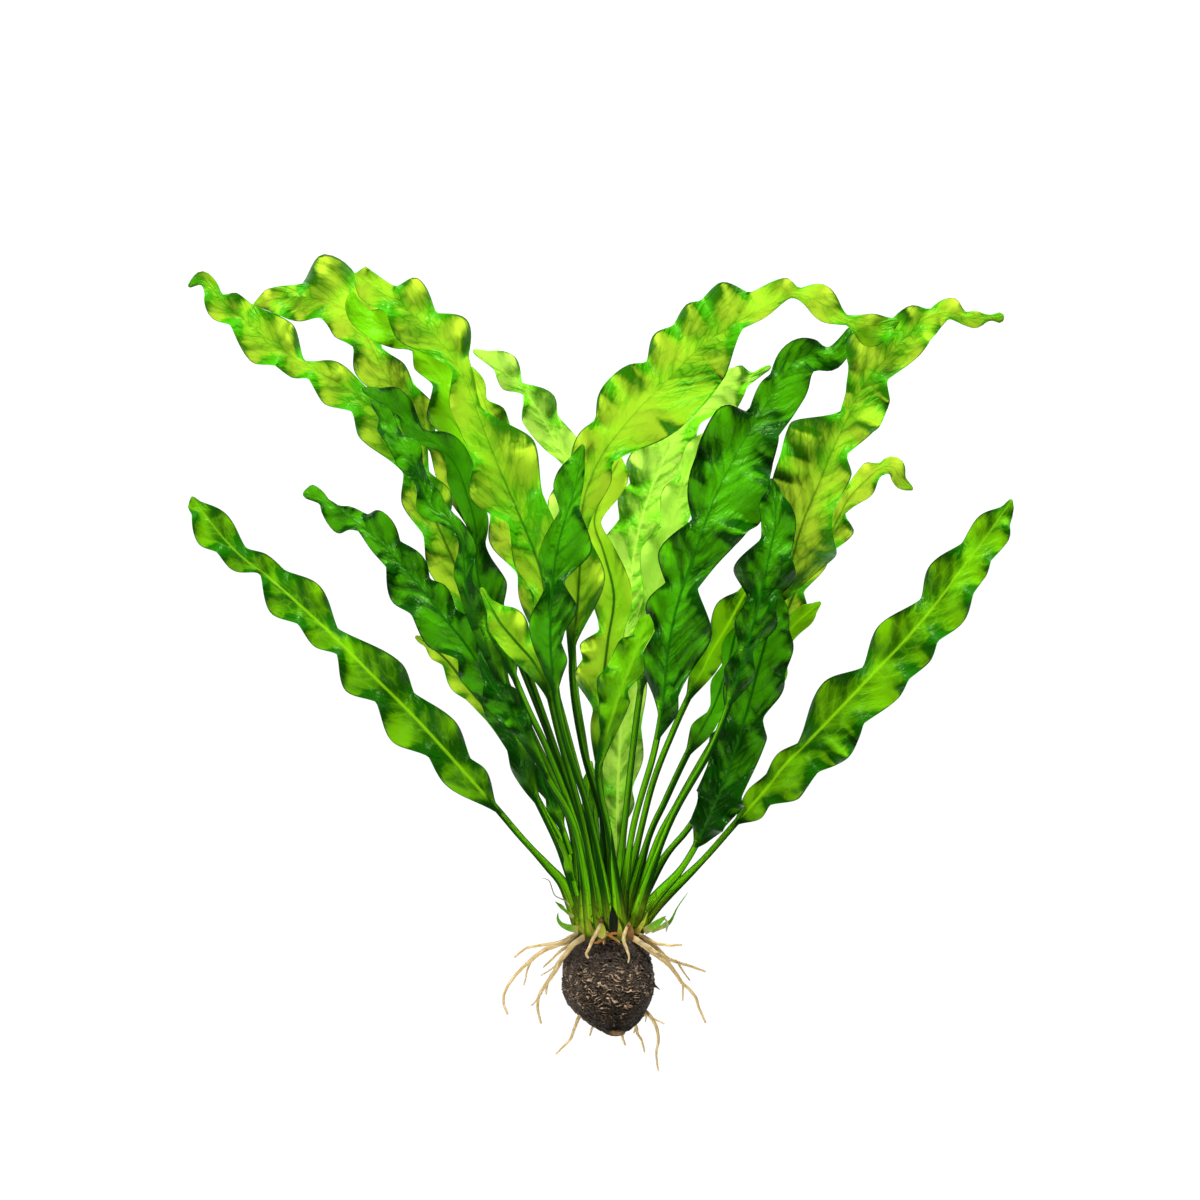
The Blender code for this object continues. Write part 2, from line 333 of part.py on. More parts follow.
# Roots: points from the crown or the tuber outwards (x, y from the crown, z), start and end radius
ROOTS = {
    "root_left_short": dict(
        points=((-12.4, -1.4, 18), (-16, -3.2, 19), (-21, -4, 18.5), (-27, -5.2, 16), (-31.5, -8.5, 13)),
        radius=(1.0, 0.4)),
    "root_left_long": dict(
        points=((-13.2, -3.2, 12), (-18, -4.6, 10), (-22, -6.6, 8), (-26, -9.8, 6), (-31, -14.5, 4),
                (-34.3, -19.5, 2.6), (-35.2, -24, 1.8), (-33.8, -28.2, 1.2)),
        radius=(1.2, 0.45),
        branch=((-25.6, -9.4, 6.1), (-27.2, -13, 5.2), (-28.2, -18.3, 4))),
    "root_left_shoulder": dict(
        points=((-11, -3.2, 24.6), (-14.6, -7.4, 22), (-17.6, -12.5, 18), (-20.4, -17, 13), (-22.7, -20.5, 9),
                (-23.8, -25, 5), (-22.5, -31.3, 2)),
        radius=(1.3, 0.45),
        branch=((-22.3, -20.4, 9.3), (-24.5, -23.6, 8), (-26, -25, 7.4))),
    "root_left_fine": dict(
        points=((-14.6, -5.2, 16), (-17.4, -7.6, 15.6), (-19.4, -9.6, 15), (-21.8, -11.8, 14.6)),
        radius=(0.8, 0.35)),
    "root_left_inner": dict(
        points=((-16.2, -9.6, 12), (-18, -13, 9.6), (-20.2, -16.6, 7), (-20.8, -21.3, 5)),
        radius=(0.8, 0.4)),
    "root_right_short": dict(
        points=((13.2, -2, 19), (16.5, -3.6, 20), (21, -4.2, 19), (25, -4.1, 17.6)),
        radius=(0.9, 0.4)),
    "root_right_middle": dict(
        points=((13.6, -3.2, 11), (16.6, -5.6, 9.4), (19.6, -8.6, 8), (23.5, -10.4, 6.6), (28, -11.8, 5),
                (33, -13.7, 3.6)),
        radius=(1.2, 0.4)),
    "root_right_long": dict(
        points=((11.4, -3.4, 24.6), (14.8, -6, 22.4), (18, -8, 19), (20.6, -10.8, 15.5), (22.8, -14, 12),
                (25.4, -17.6, 9), (29, -21.2, 6), (30.6, -25.4, 3.6), (33, -31, 1.6)),
        radius=(1.3, 0.45),
        branch=((25.2, -17.2, 9.2), (25.3, -20.4, 8.4), (25.2, -23.5, 7.8))),
    "root_front_left": dict(
        points=((-3, 1.2, 31.6), (-5.2, -3, 30.6), (-7.1, -6, 29.6), (-6.4, -8.3, 30)),
        radius=(1.3, 0.7)),
    "root_front_right": dict(
        points=((6.6, 1.2, 31), (6, -1.8, 30.5), (6.3, -5, 29.9), (7.3, -8.5, 29.9)),
        radius=(1.2, 0.6)),
    "root_tip_left": dict(
        points=((-9.6, -28.2, 19), (-11.2, -32, 16.5), (-12.4, -35.5, 13.4), (-15.2, -38.8, 10.8),
                (-17.5, -41.2, 9)),
        radius=(0.9, 0.35)),
    "root_tip_stub": dict(
        points=((-5.4, -32.2, 16), (-5.7, -33.4, 15.2), (-6.2, -34.9, 14.4)),
        radius=(0.6, 0.35)),
    "root_tip_middle": dict(
        points=((4.8, -34.6, 15), (5.2, -36.2, 14), (6, -38.2, 12.8)),
        radius=(0.7, 0.35)),
    "root_tip_right": dict(
        points=((9.4, -31.6, 14), (10, -34, 12), (11.4, -37, 9.6), (12.3, -40.7, 7.4)),
        radius=(0.8, 0.35)),
    "root_tip_long": dict(
        points=((13, -27, 13), (14.9, -29.2, 11), (16.4, -32.4, 8.4), (17, -36.5, 6), (16.3, -41, 4),
                (16.5, -44, 2.8), (17.1, -47.3, 2)),
        radius=(1.0, 0.35),
        branch=((14.8, -28.9, 11.2), (17, -30, 10.4), (19, -31, 10))),
}

# Withered leaf bases at the crown: small green scales that curl outwards (x, y, z, half-width)
SCALES = {
    "scale_left": ((-11, 1.6, 20, 1.9), (-13.4, 2, 20.6, 1.7), (-16, 3.2, 21, 1.1), (-17.2, 5.2, 21.4, 0.7),
                   (-16.7, 7.2, 21.6, 0.3)),
    "scale_left_upper": ((-13.2, 5.4, 19.6, 1.2), (-15.2, 7.6, 20, 0.9), (-17.9, 10.6, 20.6, 0.3)),
    "scale_right": ((13.2, 1.2, 20, 1.9), (15.6, 2.8, 20.6, 1.5), (17.8, 4.4, 21, 1), (19.7, 6, 21.4, 0.3)),
    "scale_right_lower": ((14.6, 0.6, 17, 1.2), (17.4, 1.8, 17.4, 1), (20, 3.4, 17.8, 1.2),
                          (21.6, 5, 18, 0.6), (23.4, 8.6, 18.4, 0.3), (26.8, 13.5, 19, 0.25)),
}


def crown_surface(distance):
    """y of the tuber's top, from the crown, at a distance from its axis."""
    share = min(distance / TUBER_RADIUS, 1.0) ** (1 / SHOULDER_POWER)
    return -TUBER_LENGTH / 2 * (1 - math.sqrt(1 - share * share))


def catmull_rom(points, steps):
    """Points on a smooth curve through the given tuples, which may have any number of values."""
    ends = [points[0], *points, points[-1]]
    curve = []
    for a, b, c, d in zip(ends, ends[1:], ends[2:], ends[3:]):
        for step in range(steps):
            t = step / steps
            curve.append(tuple(
                0.5 * (2 * q + (r - p) * t + (2 * p - 5 * q + 4 * r - s) * t * t
                       + (3 * q - p - 3 * r + s) * t ** 3)
                for p, q, r, s in zip(a, b, c, d)))
    curve.append(points[-1])
    return curve


def run_lengths(curve):
    """Distance along a curve to each of its points."""
    lengths = [0.0]
    for a, b in zip(curve, curve[1:]):
        lengths.append(lengths[-1] + math.dist(a[:3], b[:3]))
    return lengths


def point_at(curve, lengths, distance):
    """Values at a distance along a curve."""
    for i in range(len(lengths) - 1):
        if lengths[i + 1] >= distance:
            break
    t = (distance - lengths[i]) / (lengths[i + 1] - lengths[i])
    return [p + (q - p) * t for p, q in zip(curve[i], curve[i + 1])]


def margin_knots(points, curve, lengths):
    """Distance along the rib and reach from it, seen from above, of the points of a margin."""
    knots = []
    for x, y in points:
        last = knots[-1][0] + 1.0 if knots else 0.0
        nearest = (math.inf, last)
        for i in range(len(curve) - 1):
            if lengths[i + 1] < last:
                continue
            (ax, ay), (bx, by) = curve[i][:2], curve[i + 1][:2]
            dx, dy = bx - ax, by - ay
            t = max(0.0, min(1.0, ((x - ax) * dx + (y - ay) * dy) / (dx * dx + dy * dy)))
            distance = lengths[i] + t * (lengths[i + 1] - lengths[i])
            nearest = min(nearest, (math.hypot(x - ax - t * dx, y - ay - t * dy), max(distance, last)))
        knots.append((nearest[1], nearest[0]))
    knots[0] = (knots[0][0], STALK_HALF_WIDTH)
    return knots


def margin_at(knots, distance):
    """Reach and rise of a margin at a distance: it swells to each peak and rises ahead of it."""
    if distance <= knots[0][0]:
        return knots[0][1], 0.0
    for k in range(len(knots) - 1):
        if knots[k + 1][0] >= distance:
            break
    t = (distance - knots[k][0]) / (knots[k + 1][0] - knots[k][0])
    t = min(t, 1.0)
    ease = t * t * (3 - 2 * t)
    reach = knots[k][1] + (knots[k + 1][1] - knots[k][1]) * ease
    begun = min(1.0, (reach - STALK_HALF_WIDTH) / THINNING) if reach > STALK_HALF_WIDTH else 0.0
    return reach, reach * begun * (RUFFLE * math.sin(math.pi * (k + t)) + FOLD)


def leaf_sections(rib, left, right, tip):
    """Stations from foot to tip: place, roll, and the reach and rise of the two margins."""
    curve = catmull_rom(rib, SPLINE_STEPS)
    lengths = run_lengths(curve)
    total = lengths[-1]
    knots = [margin_knots(points, curve, lengths) + [(total, tip)] for points in (left, right)]
    blade = min(side[0][0] for side in knots)
    stations = []
    distance = 0.0
    while distance < total - BLADE_STEP / 2:
        x, y, z, roll = point_at(curve, lengths, distance)
        stations.append((Vector((x, y, z)), roll, [margin_at(side, distance) for side in knots]))
        distance += BLADE_STEP if distance >= blade else min(STALK_STEP, max(BLADE_STEP, blade - distance))
    stations.append((Vector(rib[-1][:3]), rib[-1][3], [(tip, 0.0)] * 2))
    stations[0] = (stations[0][0], 0.0, [(BASE_HALF_WIDTH, 0.0)] * 2)
    return stations


def blade_mesh(name, stations, square_foot):
    """A closed blade or stalk: four points at each station, its two margins and the rib's two faces."""
    bm = bmesh.new()
    rings = []
    for i, (place, roll, margins) in enumerate(stations):
        before = stations[max(i - 1, 0)][0]
        after = stations[min(i + 1, len(stations) - 1)][0]
        along = Vector((0, 1, 0)) if i == 0 and square_foot else (after - before).normalized()
        across = along.cross(Vector((0, 0, 1))).normalized()
        face = across.cross(along)
        turn = math.radians(roll)
        across, face = (across * math.cos(turn) + face * math.sin(turn),
                        face * math.cos(turn) - across * math.sin(turn))
        width = (margins[0][0] + margins[1][0]) / 2
        stalk = math.exp(-max(width - STALK_HALF_WIDTH, 0) / THINNING)
        depth = min(FLATNESS * width, RIB_HALF_DEPTH + (STALK_HALF_DEPTH - RIB_HALF_DEPTH) * stalk)
        left, right = (place + across * side * reach / math.cos(turn) + face * rise
                       for side, (reach, rise) in zip((-1, 1), margins))
        ring = [left, place + face * depth, right, place - face * depth]
        for point in ring:
            point.z = max(point.z, 0.0)
        ring[1].z = max(ring[1].z, ring[3].z + 2 * depth * abs(face.z))
        rings.append([bm.verts.new((p.x * MM, (p.y + CROWN_Y) * MM, p.z * MM)) for p in ring])
    for a, b in zip(rings, rings[1:]):
        for k in range(4):
            bm.faces.new((a[k], a[k - 1], b[k - 1], b[k]))
    bm.faces.new(rings[0])
    bm.faces.new(rings[-1][::-1])
    bmesh.ops.triangulate(bm, faces=bm.faces)
    bmesh.ops.recalc_face_normals(bm, faces=bm.faces)
    return finish_mesh(bm, name)


def finish_mesh(bm, name):
    mesh = bpy.data.meshes.new(name)
    bm.to_mesh(mesh)
    bm.free()
    mesh.shade_smooth()
    mesh.set_sharp_from_angle(angle=math.radians(50))
    return mesh


def add_piece(name, data, colour, roughness, parts):
    """An object in the part's collection with its own material."""
    material = bpy.data.materials.new(name)
    material.use_nodes = True
    shader = material.node_tree.nodes["Principled BSDF"]
    shader.inputs["Base Color"].default_value = (*colour, 1)
    shader.inputs["Roughness"].default_value = roughness
    shader.inputs["Metallic"].default_value = 0.0
    data.materials.append(material)
    piece = bpy.data.objects.new(name, data)
    parts.objects.link(piece)
    return piece


def foot_and_knee(x, height, first):
    """The first two points of a stalk: on the crown's surface, and where it turns to its leaf."""
    distance = math.hypot(x, height - TUBER_AXIS_Z)
    y = crown_surface(max(distance - BASE_HALF_WIDTH, 0)) + GAP
    turn = KNEE_TURN * STRAIGHT_FOOT / (first[1] - y)
    knee = (x + (first[0] - x) * turn, y + STRAIGHT_FOOT, height + (first[2] - height) * turn, 0)
    return (x, y, height, 0), knee


def make_leaves(parts):
    for height, spacing, names in CROWN_ROWS:
        for index, name in enumerate(names):
            leaf = LEAVES[name]
            x = (index - (len(names) - 1) / 2) * spacing
            rib = (*foot_and_knee(x, height, leaf["rib"][0]), *leaf["rib"])
            tip = leaf.get("tip", TIP_HALF_WIDTH)
            mesh = blade_mesh(name, leaf_sections(rib, leaf["left"], leaf["right"], tip), True)
            add_piece(name, mesh, leaf["colour"], 0.35, parts)


def make_scales(parts):
    for name, rib in SCALES.items():
        stations = [(Vector((x, y, z)), 0.0, [(width, 0.0)] * 2)
                    for x, y, z, width in catmull_rom(rib, SCALE_STEPS)]
        add_piece(name, blade_mesh(name, stations, False), BRIGHT, 0.4, parts)


def make_tuber(parts):
    """A sphere drawn out into an acorn, lumpy, leaning at its tip and cut flat where it rests."""
    bm = bmesh.new()
    bmesh.ops.create_uvsphere(bm, u_segments=TUBER_SEGMENTS, v_segments=TUBER_RINGS, radius=1)
    for vert in bm.verts:
        polar = math.acos(max(-1.0, min(1.0, vert.co.z)))
        turn = math.atan2(vert.co.y, vert.co.x)
        power = SHOULDER_POWER if polar < math.pi / 2 else TIP_POWER
        radius = TUBER_RADIUS * math.sin(polar) ** power
        lump = (TUBER_LUMP * math.sin(LUMPS_ROUND * turn + 2 * polar)
                * math.sin(LUMPS_DOWN * polar + 1) * math.sin(polar))
        radius += lump if polar > math.pi / 4 else min(lump, 0)
        y = -TUBER_LENGTH / 2 * (1 - math.cos(polar))
        lean = TIP_LEAN * max(0.0, (-y - TUBER_LENGTH / 2) / (TUBER_LENGTH / 2)) ** 2
        vert.co = Vector((radius * math.cos(turn) + lean, y + CROWN_Y,
                          TUBER_AXIS_Z + radius * math.sin(turn))) * MM
    cut = bmesh.ops.bisect_plane(bm, geom=bm.verts[:] + bm.edges[:] + bm.faces[:], plane_co=(0, 0, 0),
                                 plane_no=(0, 0, -1), clear_outer=True)
    rim = [item for item in cut["geom_cut"] if isinstance(item, bmesh.types.BMEdge)]
    bmesh.ops.contextual_create(bm, geom=rim)
    bmesh.ops.recalc_face_normals(bm, faces=bm.faces)
    add_piece("tuber", finish_mesh(bm, "tuber"), TUBER_BROWN, 0.85, parts)


def tube(name, points, start, end, roundness):
    """A tapered tube as a curve with filled caps, along a smooth line through the points."""
    curve = bpy.data.curves.new(name, "CURVE")
    curve.dimensions = "3D"
    curve.bevel_depth = MM
    curve.bevel_resolution = roundness
    curve.use_fill_caps = True
    line = catmull_rom(points, ROOT_STEPS)
    spline = curve.splines.new("POLY")
    spline.points.add(len(line) - 1)
    for i, (x, y, z) in enumerate(line):
        spline.points[i].co = (x * MM, (y + CROWN_Y) * MM, z * MM, 1)
        spline.points[i].radius = start + (end - start) * i / (len(line) - 1)
    return bpy.data.objects.new(name, curve)


def as_mesh(curve_object, parts):
    """The welded mesh of a tube, so that it can be joined to another."""
    parts.objects.link(curve_object)
    bpy.context.view_layer.update()
    evaluated = curve_object.evaluated_get(bpy.context.evaluated_depsgraph_get())
    mesh = bpy.data.meshes.new_from_object(evaluated)
    bm = bmesh.new()
    bm.from_mesh(mesh)
    bmesh.ops.remove_doubles(bm, verts=bm.verts, dist=0.00001)
    bmesh.ops.recalc_face_normals(bm, faces=bm.faces)
    name = curve_object.name
    bpy.data.objects.remove(curve_object)
    return finish_mesh(bm, name)


def make_roots(parts, cutters):
    for name, root in ROOTS.items():
        start, end = root["radius"]
        mesh = as_mesh(tube(name, root["points"], start, end, 1), parts)
        piece = add_piece(name, mesh, ROOT_CREAM, 0.6, parts)
        if "branch" in root:
            side = as_mesh(tube(name + "_branch", root["branch"], end, BRANCH_TIP_RADIUS, 0), parts)
            branch = bpy.data.objects.new(name + "_branch", side)
            cutters.objects.link(branch)
            branch.hide_render = True
            branch.display_type = "WIRE"
            join = piece.modifiers.new("branch", "BOOLEAN")
            join.operation = "UNION"
            join.object = branch


def main():
    for item in list(bpy.data.objects):
        bpy.data.objects.remove(item, do_unlink=True)
    parts = bpy.data.collections.new("aponogeton_bulb")
    cutters = bpy.data.collections.new("cutters")
    for collection in (parts, cutters):
        bpy.context.scene.collection.children.link(collection)
    make_tuber(parts)
    make_leaves(parts)
    make_scales(parts)
    make_roots(parts, cutters)


main()
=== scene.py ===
import math

import bmesh
import bpy
import numpy as np
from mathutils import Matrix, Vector, noise


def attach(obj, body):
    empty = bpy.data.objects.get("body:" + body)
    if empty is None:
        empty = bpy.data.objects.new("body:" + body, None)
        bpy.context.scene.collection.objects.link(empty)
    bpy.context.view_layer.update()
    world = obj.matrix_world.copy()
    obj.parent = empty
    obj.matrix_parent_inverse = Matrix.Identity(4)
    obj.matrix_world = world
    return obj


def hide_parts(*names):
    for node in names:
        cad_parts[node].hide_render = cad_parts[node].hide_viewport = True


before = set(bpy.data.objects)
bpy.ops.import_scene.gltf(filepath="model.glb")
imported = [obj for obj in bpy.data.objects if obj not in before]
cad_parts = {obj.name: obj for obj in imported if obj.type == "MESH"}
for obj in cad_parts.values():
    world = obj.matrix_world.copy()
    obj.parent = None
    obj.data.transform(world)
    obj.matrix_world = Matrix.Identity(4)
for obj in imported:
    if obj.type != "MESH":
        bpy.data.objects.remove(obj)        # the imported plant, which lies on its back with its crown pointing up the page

mm = 0.001          # everything below is in millimetres: x across, y from the tuber to the leaf tips, z up
crownY = 16.0       # the crown lies this far up the page from the frame's origin
creaseAngle = 70    # degrees; sharper edges aren't smoothed
body = "root"
noiseSeed = 5       # without one, the wrinkles and the roots' wander differ from run to run
noise.seed_set(noiseSeed)
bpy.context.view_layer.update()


# materials: a wire is an output of a node, and a sum of wires adds the nodes that work it out

class Wire:
    def __init__(self, finish, socket):
        self.finish = finish
        self.socket = socket

    def maths(self, operation, *values):
        return self.finish.node("ShaderNodeMath", {"operation": operation}, dict(enumerate(values)))

    def __add__(self, other):
        return self.maths("ADD", self, other)

    def __radd__(self, other):
        return self.maths("ADD", other, self)

    def __sub__(self, other):
        return self.maths("SUBTRACT", self, other)

    def __rsub__(self, other):
        return self.maths("SUBTRACT", other, self)

    def __mul__(self, other):
        return self.maths("MULTIPLY", self, other)

    def __rmul__(self, other):
        return self.maths("MULTIPLY", other, self)

    def __pow__(self, other):
        return self.maths("POWER", self, other)

    def __abs__(self):
        return self.maths("ABSOLUTE", self)

    def __gt__(self, other):
        return self.maths("GREATER_THAN", self, other)

    def orMore(self, other):
        return self.maths("MAXIMUM", self, other)

    def ramp(self, low, high):      # 0 below low, 1 above high, smooth between
        return self.finish.node("ShaderNodeMapRange", {"interpolation_type": "SMOOTHSTEP"},
                                {"Value": self, "From Min": low, "From Max": high})

    def axis(self, index):
        return self.finish.node("ShaderNodeSeparateXYZ", {}, {0: self}, index)

    def scaled(self, vector):
        return self.finish.node("ShaderNodeVectorMath", {"operation": "MULTIPLY"}, {0: self, 1: vector})


class Finish:
    def __init__(self, name):
        self.material = bpy.data.materials.new(name)
        self.material.use_nodes = True
        self.tree = self.material.node_tree
        self.tree.nodes.clear()

    def node(self, kind, settings, sockets, out=0):
        made = self.tree.nodes.new(kind)
        for key, value in settings.items():
            setattr(made, key, value)
        for key, value in sockets.items():
            socket = made.inputs[key]
            if isinstance(value, Wire):
                self.tree.links.new(value.socket, socket)
            elif socket.type == "RGBA":
                socket.default_value = (*value, 1)
            else:
                socket.default_value = value
        return Wire(self, made.outputs[out]) if made.outputs else None

    def blend(self, mask, a, b):        # colour a where the mask is 0, b where it's 1
        return self.node("ShaderNodeMix", {"data_type": "RGBA"}, {0: mask, 6: a, 7: b}, 2)

    def vector(self, x, y, z=0.0):
        return self.node("ShaderNodeCombineXYZ", {}, {0: x, 1: y, 2: z})

    def cloud(self, place, scale, detail=3.0, rough=0.5, twist=0.0):
        return self.node("ShaderNodeTexNoise", {}, {
            "Vector": place, "Scale": scale, "Detail": detail, "Roughness": rough, "Distortion": twist})

    def cells(self, place):             # distance to the nearest edge in a net of cells one unit wide
        return self.node("ShaderNodeTexVoronoi", {"feature": "DISTANCE_TO_EDGE"},
                         {"Vector": place, "Scale": 1.0})

    def pair(self, name):               # the two values that a map holds for each spot
        place = self.node("ShaderNodeUVMap", {"uv_map": name}, {})
        return place.axis(0), place.axis(1)

    def inMillimetres(self):            # the place in the frame
        return self.node("ShaderNodeTexCoord", {}, {}, 3).scaled((1 / mm, 1 / mm, 1 / mm))

    def bump(self, height, depth):      # depth in millimetres
        return self.node("ShaderNodeBump", {}, {"Height": height, "Strength": 1.0, "Distance": depth * mm})

    def surface(self, **sockets):
        named = {key.replace("_", " "): value for key, value in sockets.items()}
        return self.node("ShaderNodeBsdfPrincipled", {}, named)

    def done(self, shader):
        self.node("ShaderNodeOutputMaterial", {}, {"Surface": shader})
        return self.material

    def litThrough(self, share, skin, colour):      # a share of the light goes through and takes a colour
        glow = self.node("ShaderNodeBsdfTranslucent", {}, {"Color": colour})
        return self.done(self.node("ShaderNodeMixShader", {}, {0: share, 1: skin, 2: glow}))


# shared shapes

def smoothRun(points, perSpan):         # a smooth line through points with any number of values
    p = np.asarray(points, float)
    p = np.vstack([p[:1], p, p[-1:]])
    t = (np.arange(perSpan) / perSpan)[:, None]
    spans = [0.5 * (2 * b + (c - a) * t + (2 * a - 5 * b + 4 * c - d) * t ** 2
                    + (3 * b - a - 3 * c + d) * t ** 3)
             for a, b, c, d in zip(p, p[1:], p[2:], p[3:])]
    return np.vstack([*spans, p[-1:]])


def runLengths(line):
    return np.concatenate([[0.0], np.cumsum(np.linalg.norm(np.diff(line[:, :3], axis=0), axis=1))])


def pickAt(line, lengths, run):         # the line's values at distances along it
    return np.stack([np.interp(run, lengths, column) for column in line.T], axis=1)


def unit(vectors):
    return vectors / np.maximum(np.linalg.norm(vectors, axis=1, keepdims=True), 1e-9)


def bothSides(across):                  # shares from margin to margin, -1 to 1, from those of one side
    across = np.array(across)
    return np.concatenate([-across[:0:-1], across])


def wrapRound(top, under):              # over the top from left to right and back underneath
    return np.stack([*top, *under[-2:0:-1]], axis=1)


def addObject(name, data):
    item = bpy.data.objects.new(name, data)
    bpy.context.scene.collection.objects.link(item)
    return item


def loft(name, rings, maps):
    # a closed skin over rings of points, with a point in the middle of each end; maps hold the UV values
    count, around = rings.shape[:2]
    ends = [rings[0].mean(0), rings[-1].mean(0)]
    places = np.vstack([rings.reshape(-1, 3), ends])
    places[:, 1] += crownY
    index = np.arange(count * around).reshape(count, around)
    turned = np.roll(index, -1, axis=1)
    sides = np.stack([index[:-1], turned[:-1], turned[1:], index[1:]], axis=2).reshape(-1, 4)
    first, last = count * around, count * around + 1
    caps = [(first, b, a) for a, b in zip(index[0], turned[0])]
    caps += [(last, a, b) for a, b in zip(index[-1], turned[-1])]
    mesh = bpy.data.meshes.new(name)
    mesh.from_pydata((places * mm).tolist(), [], sides.tolist() + [tuple(map(int, c)) for c in caps])
    corners = np.zeros(len(mesh.loops), np.int32)
    mesh.loops.foreach_get("vertex_index", corners)
    for mapName, values in maps.items():
        flat = np.vstack([values.reshape(-1, 2), values[0].mean(0), values[-1].mean(0)])
        layer = mesh.uv_layers.new(name=mapName)
        layer.data.foreach_set("uv", flat[corners].astype(np.float32).ravel())
    bm = bmesh.new()
    bm.from_mesh(mesh)
    bmesh.ops.recalc_face_normals(bm, faces=bm.faces)
    bm.to_mesh(mesh)
    bm.free()
    mesh.shade_smooth()
    mesh.set_sharp_from_angle(angle=math.radians(creaseAngle))
    return mesh


def place(name, mesh, finish, slotName, *nodes):
    mesh.materials.append(finish)
    piece = addObject(name, mesh)
    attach(piece, body)
    if nodes:
        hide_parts(*nodes)


# leaves

# where the stalks leave the crown: height of the row, spacing, leaves from left to right
crownRows = (
    (3.9, 4.6, ("back_left", "back_pale", "back_curled")),
    (8.4, 4.2, ("low_left", "small_left", "lime_centre", "back_centre", "small_right", "low_right")),
    (13.0, 4.4, ("outer_left", "arch_left", "inner_left", "inner_right", "hidden_right", "outer_right")),
    (17.6, 4.6, ("side_left", "dark_left", "tip_left", "side_right")),
    (22.2, 4.6, ("ribbon_left", "broad_left", "arch_centre", "dark_right", "front_right")),
    (26.6, 4.2, ("front_left", "short_left", "front_centre", "short_centre")),
)

